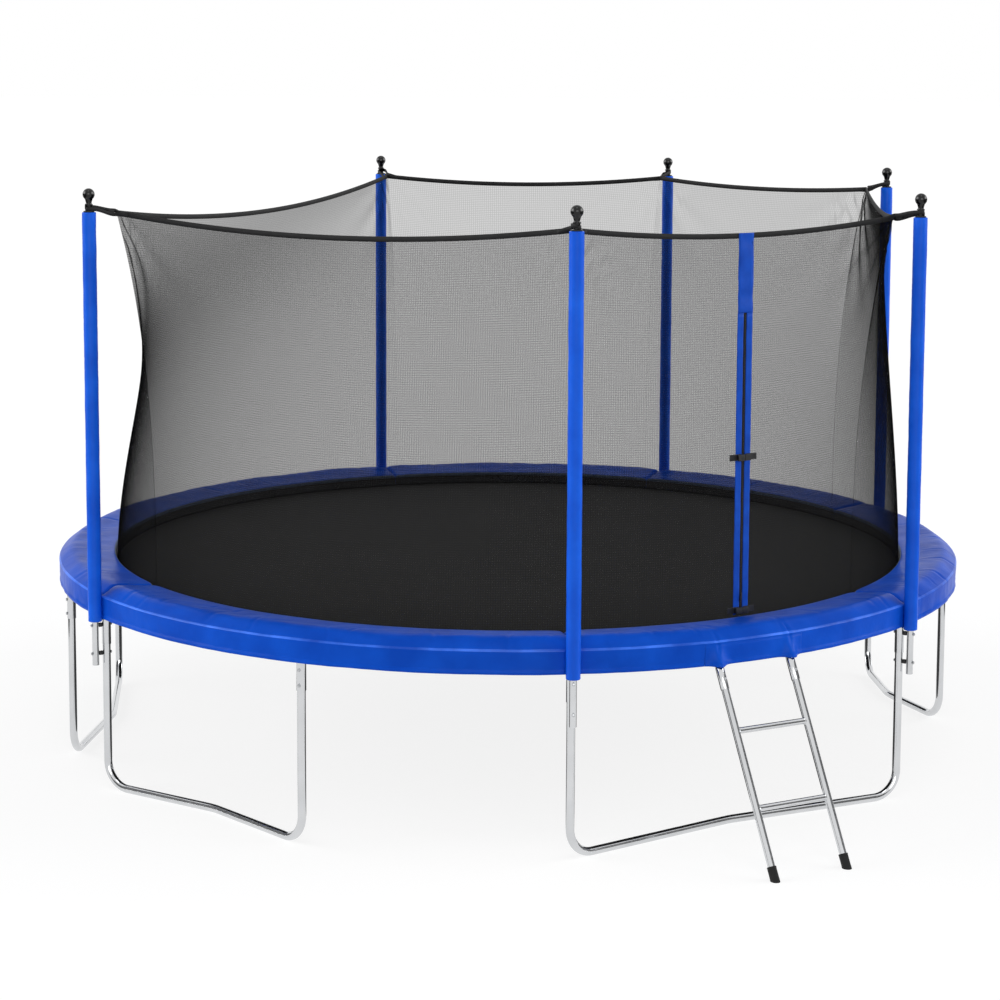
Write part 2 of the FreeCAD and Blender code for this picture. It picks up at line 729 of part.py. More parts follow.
def zip_teeth():
    half = ZIP_WIDTH / 2.0
    return [local(block(DOOR_FACE_R, TAPE_FACE_R, -half, half, TAPE_FOOT_Z, ZIP_TOP_Z), DOOR_BEARING)]


def zip_slider():
    near = TAPE_FACE_R + TOUCH
    half = SLIDER_WIDTH / 2.0
    low = SLIDER_Z - SLIDER_LENGTH / 2.0
    high = SLIDER_Z + SLIDER_LENGTH / 2.0
    outline = [(-half / 2.0, low), (-half, high - SLIDER_SHOULDER), (-half / 2.0, high), (half / 2.0, high),
               (half, high - SLIDER_SHOULDER), (half / 2.0, low)]
    points = [Vector(near, y, z) for y, z in outline]
    shield = Part.Face(Part.makePolygon(points + points[:1])).extrude(Vector(SLIDER_THICK, 0, 0))
    tab = PULL_WIDTH / 2.0
    front = near + SLIDER_THICK
    pull = block(front - PULL_THICK / 2.0, front + PULL_THICK / 2.0, -tab, tab, SLIDER_Z - PULL_LAP,
                 SLIDER_Z - PULL_LAP + PULL_LENGTH)
    return [local(shield.fuse(pull), DOOR_BEARING)]


BUCKLE_BACK_R = TAPE_FACE_R + TOUCH + BUCKLE_RISE


def buckle_strap(side, height):
    # The webbing that holds one half of a buckle, sewn flat on the tape
    near = SLIDER_WIDTH / 2.0 + RISER_ROOM
    face = TAPE_FACE_R + TOUCH
    half = STITCH_HEIGHT / 2.0
    low, high = sorted((side * near, side * STITCH_REACH))
    flat = block(face, face + STITCH_THICK, low, high, height - half, height + half)
    low, high = sorted((side * near, side * (near + RISER_LENGTH)))
    riser = block(face, BUCKLE_BACK_R, low, high, height - half, height + half)
    return flat.fuse(riser)


def buckle_body(height):
    half = BUCKLE_HEIGHT / 2.0
    back = BUCKLE_BACK_R
    front, mouth, wall = back + BUCKLE_THICK, -BUCKLE_MOUTH, BUCKLE_WALL
    case = block(back, front, mouth - BUCKLE_LENGTH, mouth, height - half, height + half)
    cavity = block(back + wall, front - wall, mouth - PRONG_LENGTH - PRONG_END_ROOM, mouth,
                   height - half + wall, height + half - wall)
    return local(case.cut(cavity).fuse(buckle_strap(-1, height)), DOOR_BEARING)


def buckle_tongue(height):
    half = BUCKLE_HEIGHT / 2.0
    back = BUCKLE_BACK_R
    front, face = back + BUCKLE_THICK, TOUCH - BUCKLE_MOUTH
    plate = block(back, front, face, TONGUE_REACH, height - half, height + half)
    gap = BUCKLE_WALL + PRONG_ROOM
    prongs = []
    for side in (-1, 1):
        low, high = sorted((side * (half - gap), side * (half - gap - PRONG_HEIGHT)))
        prongs.append(block(back + gap, front - gap, -BUCKLE_MOUTH - PRONG_LENGTH, face,
                            height + low, height + high))
    return [local(plate.fuse(prongs + [buckle_strap(1, height)]), DOOR_BEARING)]


# Ladder: hangs on the frame rail by two hooks, so its hinge line runs through the rail's centre

HOOK_BEARING = LADDER_BEARING - math.degrees(math.asin(LADDER_HALF_WIDTH / RING_R))
HINGE_R = math.sqrt(rail_inside(RING_R, HOOK_BEARING, 0.0) ** 2 - LADDER_HALF_WIDTH ** 2)
LADDER_RUN = LADDER_FOOT_R - HINGE_R
LADDER_SLANT = math.atan2(LADDER_RUN, RING_Z)
HOOK_INNER_R = HOOK_TUBE_R + TOUCH
HOOK_OUTER_R = HOOK_INNER_R + HOOK_THICK


def ladder_point(side, distance, lift=0.0):
    # A point on a side rail's axis; lift is measured outwards, square to the rail
    x = HINGE_R + distance * math.sin(LADDER_SLANT) + lift * math.cos(LADDER_SLANT)
    z = RING_Z - distance * math.cos(LADDER_SLANT) + lift * math.sin(LADDER_SLANT)
    return Vector(x, side * LADDER_HALF_WIDTH, z)


def ladder_place(shape):
    return local(shape, LADDER_BEARING)


def ladder_length():
    return RING_Z / math.cos(LADDER_SLANT)


def inside_bar(start, end):
    return straight_tube(start, end, bore_radius(SIDE_RAIL_R, TOUCH))


def side_rail_end():
    # The rail stops inside its foot, a wall's thickness above the ground
    return ladder_length() - (SIDE_RAIL_R + FOOT_WALL) * math.tan(LADDER_SLANT) - FOOT_WALL


def side_rail(side):
    start, end = ladder_point(side, HOOK_TUBE_FROM), ladder_point(side, side_rail_end())
    return [ladder_place(straight_tube(start, end, SIDE_RAIL_R))]


def ladder_rungs():
    rungs = []
    for height in RUNG_HEIGHTS:
        distance = (RING_Z - height) / math.cos(LADDER_SLANT)
        rung = straight_tube(ladder_point(-1, distance), ladder_point(1, distance), RUNG_R)
        for side in (-1, 1):
            reach = RUNG_R * 3.0
            start, end = ladder_point(side, distance - reach), ladder_point(side, distance + reach)
            rung = rung.cut(inside_bar(start, end))
        rungs.append(ladder_place(rung))
    return rungs


def hook_tube(side):
    tube = straight_tube(ladder_point(side, HOOK_TUBE_FROM), ladder_point(side, HOOK_TUBE_TO), HOOK_TUBE_R)
    bore = inside_bar(ladder_point(side, HOOK_TUBE_FROM - 1.0), ladder_point(side, HOOK_TUBE_TO + 1.0))
    return ladder_place(tube.cut(bore))


def hook_strip(side):
    # A flat strip welded along the hook tube and bent over the frame rail
    centre = ladder_point(side, 0.0) - Vector(0, HOOK_WIDTH / 2.0, 0)
    lower = Vector(0, HOOK_WIDTH / 2.0, 0)
    first, last = LADDER_SLANT, math.radians(HOOK_TIP_DEG)
    turns = [first + (last - first) * i / HOOK_STEPS for i in range(HOOK_STEPS + 1)]

    def bow(r):
        return [centre + Vector(r * math.cos(t), 0, r * math.sin(t)) for t in turns]

    outer = [ladder_point(side, HOOK_STRIP_TO, HOOK_OUTER_R) - lower] + bow(HOOK_OUTER_R)
    inner = [ladder_point(side, HOOK_STRIP_TO, HOOK_INNER_R) - lower] + bow(HOOK_INNER_R)
    loop = outer + inner[::-1]
    return ladder_place(Part.Face(Part.makePolygon(loop + loop[:1])).extrude(Vector(0, HOOK_WIDTH, 0)))


def ladder_hooks():
    return [piece(side) for side in (-1, 1) for piece in (hook_tube, hook_strip)]


def ladder_foot(side):
    length = ladder_length()
    outer_r = bore_radius(SIDE_RAIL_R, TOUCH) + FOOT_WALL
    mouth = ladder_point(side, length - FOOT_LENGTH)
    boot = straight_tube(mouth, ladder_point(side, length + outer_r * 2.0), outer_r)
    x, reach = ladder_point(side, length).x, 2.0 * FOOT_LENGTH
    ground = block(x - reach, x + reach, -2.0 * LADDER_HALF_WIDTH, 2.0 * LADDER_HALF_WIDTH, -reach, 0.0)
    past = ladder_point(side, length - FOOT_LENGTH - TOUCH)
    bore = inside_bar(past, ladder_point(side, side_rail_end() + TOUCH))
    return ladder_place(boot.cut(ground).cut(bore))


def ladder_screw(side):
    distance = (HOOK_TUBE_FROM + 2.0 * HOOK_TUBE_TO) / 3.0
    start = ladder_point(side, distance, HOOK_TUBE_R + TOUCH)
    direction = ladder_point(side, distance, HOOK_TUBE_R + 2.0) - start
    return ladder_place(hexagon(start, direction))


def hook_pocket(side):
    room = HOOK_WIDTH / 2.0 + HOOK_ROOM
    start = Vector(HINGE_R, side * LADDER_HALF_WIDTH - room, RING_Z)
    end = start + Vector(0, 2.0 * room, 0)
    pocket_r = bore_radius(HOOK_OUTER_R, 1.0)
    return ladder_place(straight_tube(start, end, pocket_r, Vector(0, 0, 1)))


def skirt_slit(side):
    half = HOOK_TUBE_R + SKIRT_SLIT
    middle = side * LADDER_HALF_WIDTH
    return ladder_place(block(HINGE_R, HINGE_R + 100.0, middle - half, middle + half,
                              PAD_FOOT_Z - SKIRT_DROP - 1.0, PAD_FOOT_Z))


# All pieces by node name

def build_nodes():
    poles = pole_bearings()
    nodes = {}
    for group in range(RAIL_COUNT // RAILS_PER_NODE):
        nodes["frame_rails_%d" % (group + 1)] = frame_rails(group)
    for name in LEGS:
        nodes[name] = leg(name)
    nodes["poles_lower"] = [lower_pole(b) for b in poles]
    nodes["poles_upper"] = [upper_pole(b) for b in poles]
    nodes["pole_spacers"] = [pole_spacer(b, z) for b in poles for z in BOLT_HEIGHTS]
    nodes["pole_bolts"] = [pole_bolt(b, z) for b in poles for z in BOLT_HEIGHTS]
    plain = [b for pair in LEGS.values() for b in pair if b not in poles]
    screw_heights = (SOCKET_FOOT_Z + SCREW_RISE, BOLT_HEIGHTS[0])
    nodes["socket_screws"] = [socket_screw(b, z) for b in plain for z in screw_heights]
    for i, bearing in enumerate(poles):
        nodes["pole_sleeve_%d" % (i + 1)] = [sleeve(bearing)]
    nodes["pole_caps"] = [pole_cap(b) for b in poles]
    nodes["jump_mat"] = [many_sided(MAT_R, MAT_FOOT_Z, MAT_TOP_Z)]
    nodes["mat_hem"] = [mat_hem()]
    nodes["spring_eyes"] = [spring_eye(b) for b in spring_bearings()]
    nodes["springs"] = [spring(b) for b in spring_bearings()]
    for i, (start, end) in enumerate(net_bays()):
        nodes["pad_sector_%d" % (i + 1)] = [pad_sector(start, end)]
    nodes.update(net_panels())
    nodes["net_top_hem"] = net_top_hem()
    nodes["net_straps"] = [net_strap(b) for b in poles]
    loops = int(360.0 / LOOP_PITCH_DEG)
    nodes["net_loops"] = [net_loop(FIRST_JOINT_DEG + i * LOOP_PITCH_DEG) for i in range(loops)]
    nodes["door_tapes"] = door_tapes()
    nodes["door_zip"] = zip_teeth()
    nodes["zip_slider"] = zip_slider()
    nodes["buckle_bodies"] = [buckle_body(z) for z in BUCKLES.values()]
    for name, height in BUCKLES.items():
        nodes["buckle_tongue_" + name] = buckle_tongue(height)
    nodes["ladder_rail_left"] = side_rail(-1)
    nodes["ladder_rail_right"] = side_rail(1)
    nodes["ladder_rungs"] = ladder_rungs()
    nodes["ladder_hooks"] = ladder_hooks()
    nodes["ladder_feet"] = [ladder_foot(side) for side in (-1, 1)]
    nodes["ladder_screws"] = [ladder_screw(side) for side in (-1, 1)]
    return nodes


def solids_of(pieces):
    return [solid for piece in pieces for solid in piece.Solids]


# The origin is on the ground in the middle of the whole part's length and width
shapes = {name: Part.makeCompound(solids_of(pieces)) for name, pieces in build_nodes().items()}
boxes = [shape.BoundBox for shape in shapes.values()]
to_middle = Vector(-(min(b.XMin for b in boxes) + max(b.XMax for b in boxes)) / 2.0,
                   -(min(b.YMin for b in boxes) + max(b.YMax for b in boxes)) / 2.0, 0.0)
os.makedirs("parts", exist_ok=True)
for name, shape in shapes.items():
    shape.translate(to_middle)
    shape.exportStep("parts/%s.step" % name)
print("nodes", len(shapes), "moved by", [round(v, 3) for v in to_middle])
print("hinge radius", round(HINGE_R, 3), "ladder slant", round(math.degrees(LADDER_SLANT), 3))
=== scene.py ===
import math
import random

import bmesh
import bpy
from mathutils import Matrix, Vector, noise
from mathutils.geometry import interpolate_bezier


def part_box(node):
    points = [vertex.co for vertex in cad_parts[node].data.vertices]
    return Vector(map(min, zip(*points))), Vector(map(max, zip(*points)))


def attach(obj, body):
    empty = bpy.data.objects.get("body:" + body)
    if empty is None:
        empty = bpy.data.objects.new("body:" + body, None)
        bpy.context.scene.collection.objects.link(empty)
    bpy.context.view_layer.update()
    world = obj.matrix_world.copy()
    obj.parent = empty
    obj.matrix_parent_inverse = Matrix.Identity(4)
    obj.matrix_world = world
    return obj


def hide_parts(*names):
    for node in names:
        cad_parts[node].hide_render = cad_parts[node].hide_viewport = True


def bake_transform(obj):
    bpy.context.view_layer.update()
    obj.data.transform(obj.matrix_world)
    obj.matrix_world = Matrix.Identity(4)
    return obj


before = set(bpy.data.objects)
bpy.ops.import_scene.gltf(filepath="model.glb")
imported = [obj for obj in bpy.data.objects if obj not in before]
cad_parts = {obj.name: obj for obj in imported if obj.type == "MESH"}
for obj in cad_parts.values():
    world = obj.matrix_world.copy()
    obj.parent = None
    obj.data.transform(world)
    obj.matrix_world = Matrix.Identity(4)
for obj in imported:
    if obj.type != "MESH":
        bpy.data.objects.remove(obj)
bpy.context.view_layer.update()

# Frame rails
# Twelve arcs of 38 mm steel tube, hot-dip galvanised and rolled to one circle. Each rail's far end is
# swaged thinner and pushed into the open mouth of the next, so a fine line shows at every joint.

mat_low, mat_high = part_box("jump_mat")
AXIS = Vector(((mat_low.x + mat_high.x) / 2, (mat_low.y + mat_high.y) / 2, 0.0))
RING_RADIUS, RING_HEIGHT = 2.27, 0.898
TUBE_RADIUS = 0.019
RAIL_COUNT, FIRST_JOINT = 12, 15.37
SWAGE_TURN, SWAGE_SHARE, BORE_SHARE = 1.5, 0.83, 0.9
JOINT_GAP = 0.03


def turned(degrees, axis):
    return Matrix.Rotation(math.radians(degrees), 4, axis)


def facing(bearing, radius=0.0, height=0.0):
    # A place round the trampoline: +X points outwards there, +Y along the ring and +Z up.
    # The bearing is in degrees, from the front round towards +X.
    return Matrix.Translation(AXIS) @ turned(bearing - 90.0, "Z") @ Matrix.Translation((radius, 0.0, height))


def at(radius, bearing, height):
    return facing(bearing, radius, height).translation


def ring(bm, place, radius, sides):
    made = bmesh.ops.create_circle(bm, segments=sides, radius=radius, matrix=place)
    return list({edge for vert in made["verts"] for edge in vert.link_edges})


def drawn(bm, edges, move):
    # The edges drawn out to a new place
    grown = bmesh.ops.extrude_edge_only(bm, edges=edges)["geom"]
    bmesh.ops.transform(bm, matrix=move, verts=[g for g in grown if isinstance(g, bmesh.types.BMVert)])
    return [g for g in grown if isinstance(g, bmesh.types.BMEdge)]


def swung(bm, edges, centre, axis, degrees, steps):
    # The edges spun round an axis, as a tube is rolled or bent
    verts = list({vert for edge in edges for vert in edge.verts})
    last = bmesh.ops.spin(bm, geom=verts + list(edges), cent=centre, axis=axis, steps=steps,
                          angle=math.radians(degrees), use_merge=False)["geom_last"]
    return [g for g in last if isinstance(g, bmesh.types.BMEdge)]


def narrowed(bm, edges, share):
    # A shoulder: the ring drawn in towards its own middle
    verts = {vert for edge in edges for vert in edge.verts}
    middle = sum((vert.co for vert in verts), Vector()) / len(verts)
    there, back = Matrix.Translation(middle), Matrix.Translation(-middle)
    return drawn(bm, edges, there @ Matrix.Scale(share, 4) @ back)


def made_piece(name, bm, *materials, sharp=40.0):
    bmesh.ops.recalc_face_normals(bm, faces=bm.faces)
    mesh = bpy.data.meshes.new(name)
    bm.to_mesh(mesh)
    bm.free()
    for material in materials:
        mesh.materials.append(material)
    mesh.shade_smooth()
    mesh.set_sharp_from_angle(angle=math.radians(sharp))
    piece = bpy.data.objects.new(name, mesh)
    bpy.context.collection.objects.link(piece)
    return piece


def fitted(piece, body, slot, *nodes):
    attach(piece, body)
    if nodes:
        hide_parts(*nodes)
    return piece


def colour(code):
    # sRGB hex to linear
    parts = [int(code[i:i + 2], 16) / 255 for i in (1, 3, 5)]
    return [p / 12.92 if p <= 0.04045 else ((p + 0.055) / 1.055) ** 2.4 for p in parts] + [1.0]


def add_node(tree, kind, inputs=None, **settings):
    # One node; each input is a plain value, or the output or node (for its first output) linked to it
    node = tree.nodes.new("ShaderNode" + kind)
    for name, value in settings.items():
        setattr(node, name, value)
    for name, value in (inputs or {}).items():
        if isinstance(value, bpy.types.Node):
            value = value.outputs[0]
        if isinstance(value, bpy.types.NodeSocket):
            tree.links.new(value, node.inputs[name])
        else:
            node.inputs[name].default_value = value
    return node


def blank_material(name):
    material = bpy.data.materials.new(name)
    material.use_nodes = True
    material.node_tree.nodes.clear()
    return material, material.node_tree


def two_toned(name, tones, patches, shine, grain=None, relief=(0.0, 0.0), **settings):
    # A material whose tone, and whose roughness where that is a pair, drifts with noise of this scale and
    # detail. Its grain is a texture's kind, inputs and output, and relief its strength and depth.
    material, tree = blank_material(name)
    where = add_node(tree, "TexCoord").outputs["Object"]
    drift = add_node(tree, "TexNoise", {"Vector": where, "Scale": patches[0], "Detail": patches[1]})
    tone = add_node(tree, "MixRGB", {"Fac": drift, "Color1": colour(tones[0]), "Color2": colour(tones[1])})
    inputs = {**shine, "Base Color": tone}
    if isinstance(shine["Roughness"], tuple):
        low, high = shine["Roughness"]
        inputs["Roughness"] = add_node(tree, "MapRange", {"Value": drift, "To Min": low, "To Max": high})
    if grain:
        kind, scales, output = grain
        height = add_node(tree, kind, {"Vector": where, **scales}, **settings).outputs[output]
        inputs["Normal"] = add_node(tree, "Bump", {"Height": height, "Strength": relief[0],
                                                   "Distance": relief[1]})
    surface = add_node(tree, "BsdfPrincipled", inputs)
    add_node(tree, "OutputMaterial", {"Surface": surface})
    return material


# Tube of galvanised strip, rolled smooth: bright zinc with almost no crystals, only a slow change of tone
# and fine lengthwise roll marks, so it shows long, clear highlights.
galvanised_tube = two_toned("galvanised_steel_tube", ("#C6C8CA", "#DADBDD"), (9.0, 3.0),
                            {"Metallic": 1.0, "Roughness": (0.06, 0.11)},
                            ("TexNoise", {"Scale": 900.0, "Detail": 2.0}, "Fac"), (0.03, 0.0004))

up = (0.0, 0.0, 1.0)
span = 360.0 / RAIL_COUNT
for pair in range(RAIL_COUNT // 2):
    bm = bmesh.new()
    for rail in (2 * pair, 2 * pair + 1):
        start = FIRST_JOINT + rail * span + JOINT_GAP
        upright_ring = facing(start, RING_RADIUS, RING_HEIGHT) @ turned(90, "X")
        mouth = ring(bm, upright_ring, TUBE_RADIUS, 28)
        end = swung(bm, mouth, AXIS, up, span - 2 * JOINT_GAP, 24)
        spigot = swung(bm, narrowed(bm, end, SWAGE_SHARE), AXIS, up, SWAGE_TURN, 2)
        bore = swung(bm, narrowed(bm, mouth, BORE_SHARE), AXIS, up, SWAGE_TURN + 0.1, 2)
        bmesh.ops.holes_fill(bm, edges=spigot + bore)
    name = "frame_rails_%d" % (pair + 1)
    fitted(made_piece("rail_pair_%d" % (pair + 1), bm, galvanised_tube), "frame", "galvanised_steel", name)

# Leg sockets
# Short lengths of wider galvanised tube, welded upright under the rails with a bead that runs round
# the joint. The legs push up into them and are locked by screws.

LEGS = {"leg_a": (-56.4, -23.4), "leg_b": (7.0, 53.9), "leg_c": (90.2, 116.2),
        "leg_d": (-108.6, -71.0), "leg_e": (156.0, 199.4)}
LEG_BEARINGS = [bearing for uprights in LEGS.values() for bearing in uprights]
SOCKET_RADIUS, SOCKET_BORE, SOCKET_FOOT = 0.0217, 0.0196, 0.705


def outlined(bm, outline, place, closed):
    # The vertices and edges along an outline of (radius, height) points
    verts = [bm.verts.new(place @ Vector((radius, 0.0, height))) for radius, height in outline]
    return verts, [bm.edges.new(pair) for pair in zip(verts, verts[1:] + (verts[:1] if closed else []))]


def lathe(bm, outline, place, steps=28):
    # An outline spun once round its place's +Z. It is closed unless it starts or ends on the axis.
    verts, edges = outlined(bm, outline, place, outline[0][0] > 0.0 and outline[-1][0] > 0.0)
    bmesh.ops.spin(bm, geom=verts + edges, cent=place.translation, steps=steps, angle=math.tau,
                   axis=place.to_3x3() @ Vector(up), use_merge=True)
    bmesh.ops.remove_doubles(bm, verts=bm.verts, dist=1e-6)


bm = bmesh.new()
for bearing in LEG_BEARINGS:
    bead = [(SOCKET_RADIUS, 0.872), (SOCKET_RADIUS + 0.0022, 0.8745), (SOCKET_RADIUS + 0.0022, 0.879),
            (SOCKET_RADIUS - 0.002, 0.884)]
    outline = [(SOCKET_BORE, 0.876), (SOCKET_BORE, SOCKET_FOOT + 0.001), (SOCKET_BORE + 0.0007, SOCKET_FOOT),
               (SOCKET_RADIUS - 0.0007, SOCKET_FOOT), (SOCKET_RADIUS, SOCKET_FOOT + 0.001)] + bead
    lathe(bm, outline, facing(bearing, RING_RADIUS))
fitted(made_piece("leg_sockets", bm, galvanised_tube), "frame", "galvanised_steel")

# Legs
# Five U legs, each one galvanised tube with two wide bends at the ground and a shallow bend in the
# middle of its base, so that it lies on the ground inside the circle of its uprights.

LEG_BEND, KINK, KINK_BEND, LEG_TOP = 0.12, 0.08, 0.3, 0.877


def tube(bm, corners, bends, radius, sides=28):
    # A ring drawn along the straight runs and swung round the bends
    along = (corners[1] - corners[0]).normalized()
    facing_along = along.to_track_quat("Z", "Y").to_matrix().to_4x4()
    first = edges = ring(bm, Matrix.Translation(corners[0]) @ facing_along, radius, sides)
    here = corners[0]
    for corner, after, bend in zip(corners[1:], corners[2:] + [None], list(bends) + [0.0]):
        out = (after - corner).normalized() if after else along
        turn = along.angle(out)
        reach = bend * math.tan(turn / 2)
        edges = drawn(bm, edges, Matrix.Translation(corner - along * reach - here))
        if after:
            inwards = (out - along * along.dot(out)).normalized()
            edges = swung(bm, edges, corner - along * reach + inwards * bend, along.cross(out).normalized(),
                          math.degrees(turn), max(3, round(math.degrees(turn) / 7)))
            here, along = corner + out * reach, out
    bmesh.ops.holes_fill(bm, edges=first + edges)


for name, (first, second) in LEGS.items():
    middle, half = (first + second) / 2, (second - first) / 2
    chord = RING_RADIUS * math.cos(math.radians(half))
    bm = bmesh.new()
    tube(bm, [at(RING_RADIUS, first, LEG_TOP), at(RING_RADIUS, first, TUBE_RADIUS),
              at(chord - KINK, middle, TUBE_RADIUS), at(RING_RADIUS, second, TUBE_RADIUS),
              at(RING_RADIUS, second, LEG_TOP)], (LEG_BEND, KINK_BEND, LEG_BEND), TUBE_RADIUS)
    fitted(made_piece(name.replace("leg_", "u_leg_"), bm, galvanised_tube), "frame", "galvanised_steel", name)

# Lower poles
# The lower halves of the six net poles: 32 mm galvanised tube with open feet, standing outside the
# legs and bolted to them through black spacers.

POLES = (-56.4, 7.0, 53.9, 116.2, 156.0, 199.4)
POLE_RING, POLE_RADIUS, POLE_WALL = 2.326, 0.016, 0.0015
POLE_FOOT, POLE_SPLIT, POLE_TOP = 0.61, 1.65, 2.745

bm = bmesh.new()
inner = POLE_RADIUS - POLE_WALL
for bearing in POLES:
    outline = [(inner, POLE_SPLIT - 0.001), (inner, POLE_FOOT + 0.0005), (inner + 0.0004, POLE_FOOT),
               (POLE_RADIUS - 0.0004, POLE_FOOT), (POLE_RADIUS, POLE_FOOT + 0.0005),
               (POLE_RADIUS, POLE_SPLIT - 0.001)]
    lathe(bm, outline, facing(bearing, POLE_RING))
fitted(made_piece("lower_poles", bm, galvanised_tube), "frame", "galvanised_steel", "poles_lower")

# Upper poles
# The upper halves, with a swaged end that slides 80 mm down into the lower ones. The sleeves hide them.

POLE_SWAGE = 0.08
bm = bmesh.new()
for bearing in POLES:
    outline = [(0.0, POLE_SPLIT - POLE_SWAGE), (0.0135, POLE_SPLIT - POLE_SWAGE + 0.001),
               (0.0138, POLE_SPLIT - 0.004), (POLE_RADIUS, POLE_SPLIT), (POLE_RADIUS, POLE_TOP),
               (0.0, POLE_TOP)]
    lathe(bm, outline, facing(bearing, POLE_RING), 20)
fitted(made_piece("upper_poles", bm, galvanised_tube), "frame", "galvanised_steel", "poles_upper")

# Pole spacers
# Black nylon blocks, moulded hollow with a saddle at each end, which keep the poles off the legs.

BOLT_HEIGHTS = (0.8, 0.665)

# Moulded nylon: matt black with the fine spark-eroded grain of its mould.
black_nylon = two_toned("black_nylon_moulded", ("#0E0E10", "#1B1B1D"), (60.0, 2.0), {"Roughness": 0.48},
                        ("TexNoise", {"Scale": 1400.0, "Detail": 2.0}, "Fac"), (0.25, 0.0002))


def round_off(bm, made, offset, segments=2):
    edges = list({edge for vert in made["verts"] for edge in vert.link_edges})
    bmesh.ops.bevel(bm, geom=edges, offset=offset, segments=segments, profile=0.5, affect="EDGES",
                    material=-1)


def rounded_block(bm, place, size, edge, segments=2):
    # A box of this size round its place's origin, with its edges rounded
    made = bmesh.ops.create_cube(bm, size=1.0, matrix=place @ Matrix.Diagonal((*size, 1.0)))
    round_off(bm, made, edge, segments)


bm = bmesh.new()
for bearing in POLES:
    for height in BOLT_HEIGHTS:
        inside = RING_RADIUS + (SOCKET_RADIUS if height > SOCKET_FOOT else TUBE_RADIUS)
        outside = POLE_RING - POLE_RADIUS
        place = facing(bearing, (inside + outside) / 2, height)
        rounded_block(bm, place, (outside - inside - 0.0004, 0.018, 0.018), 0.0025)
fitted(made_piece("spacers", bm, black_nylon), "frame", "black_matt_plastic", "pole_spacers")

# Pole bolts and socket screws
# Zinc-plated M8 bolts: a hexagon head with its washer outside the pole and a nut with a washer inside
# the leg. The sockets that carry no pole have two short hexagon screws.

# Zinc plating: a thin bright blueish metal film with faint brushed variation.
zinc_plated = two_toned("zinc_plated_steel", ("#A9ABAE", "#C9CBCD"), (300.0, 3.0),
                        {"Metallic": 1.0, "Roughness": (0.25, 0.45)})
HEX_ACROSS = 0.0142


def screwed(bm, place, washer_radius, washer_height, head_height):
    # A washer with a hexagon on it, along its place's +Z, the hexagon's corners turned off
    rim = [(washer_radius, 0.0), (washer_radius, washer_height)]
    lathe(bm, [(0.0, 0.0), *rim, (0.0, washer_height)], place, 20)
    middle = place @ Matrix.Translation((0, 0, washer_height + head_height / 2))
    made = bmesh.ops.create_cone(bm, cap_ends=True, segments=6, radius1=HEX_ACROSS / 2,
                                 radius2=HEX_ACROSS / 2, depth=head_height, matrix=middle)
    round_off(bm, made, head_height * 0.12)


outwards, inwards = turned(90, "Y"), turned(-90, "Y")

bm = bmesh.new()
for bearing in POLES:
    for height in BOLT_HEIGHTS:
        inside = RING_RADIUS - (SOCKET_RADIUS if height > SOCKET_FOOT else TUBE_RADIUS)
        tube(bm, [at(inside, bearing, height), at(POLE_RING + POLE_RADIUS, bearing, height)], (), 0.004, 10)
        for place in (facing(bearing, POLE_RING + POLE_RADIUS, height) @ outwards,
                      facing(bearing, inside, height) @ inwards):
            screwed(bm, place, 0.0072, 0.0012, 0.0045)
fitted(made_piece("bolts", bm, zinc_plated), "frame", "zinc_steel", "pole_bolts")

bm = bmesh.new()
for bearing in [bearing for bearing in LEG_BEARINGS if bearing not in POLES]:
    for height in (SOCKET_FOOT + 0.025, BOLT_HEIGHTS[0]):
        head = facing(bearing, RING_RADIUS + SOCKET_RADIUS - 0.0003, height) @ outwards
        screwed(bm, head, 0.0075, 0.0014, 0.0045)
fitted(made_piece("leg_screws", bm, zinc_plated), "frame", "zinc_steel", "socket_screws")

# Pole sleeves
# Foam tubes in a cover of glossy blue PVC, pushed over the poles down to the spring cover's skirt. The
# cover is welded along the foam, with a narrow seam that faces the net.

SLEEVE_RADIUS, SLEEVE_FOOT = 0.033, 0.82
SLEEVE_BORE = POLE_RADIUS + 0.0008


def waves(point, size, amount, seed):
    # A smooth random height that changes over about this size
    return amount * noise.noise(point / size + Vector((seed * 7.3, seed * 3.1, seed * 1.7)))


# PVC film on a woven base: strong blue, with the fine grain of its embossing roller (drawn at 2 mm,
# coarser than real, so that it shows) and soft handling creases of a few centimetres.
def blue_pvc(name, deep, bright, gloss):
    material, tree = blank_material(name)
    where = add_node(tree, "TexCoord").outputs["Object"]
    shade = add_node(tree, "TexNoise", {"Vector": where, "Scale": 5.0, "Detail": 5.0})
    patchy = add_node(tree, "MapRange", {"Value": shade, "From Min": 0.36, "From Max": 0.66})
    tone = add_node(tree, "MixRGB", {"Fac": patchy, "Color1": colour(deep), "Color2": colour(bright)})
    emboss = add_node(tree, "TexVoronoi", {"Vector": where, "Scale": 500.0})
    creases = add_node(tree, "TexNoise", {"Vector": where, "Scale": 16.0, "Detail": 5.0, "Distortion": 0.6})
    fine = add_node(tree, "Bump", {"Height": emboss, "Strength": 0.1, "Distance": 0.0005})
    relief = add_node(tree, "Bump", {"Height": creases, "Strength": 0.25, "Distance": 0.006, "Normal": fine})
    worn = add_node(tree, "MapRange", {"Value": creases, "To Min": 0.26, "To Max": 0.42})
    vinyl = add_node(tree, "BsdfPrincipled", {"Base Color": tone, "IOR": 1.53, "Roughness": worn,
                                              "Specular IOR Level": gloss, "Normal": relief})
    add_node(tree, "OutputMaterial", {"Surface": vinyl})
    return material


# The sleeves and the spring cover are one PVC in two tones, as painted light and shade: the sleeves are
# painted lighter for the side light their round faces catch, and the cover deeper for its shade. The strip
# where the cover folds over the foam's edge is a painted highlight, paler and glossier, in place of the light
# that catches the fold.
sleeve_film_painted_light = blue_pvc("blue_pvc_sleeve_painted_lighter", "#0A52CE", "#1260E0", 0.14)
blue_cover = blue_pvc("blue_pvc_cover_painted_shade", "#0644B4", "#0C50C6", 0.06)
fold_strip_painted_highlight = blue_pvc("blue_pvc_fold_painted_highlight", "#0848B8", "#3C7CFA", 0.25)

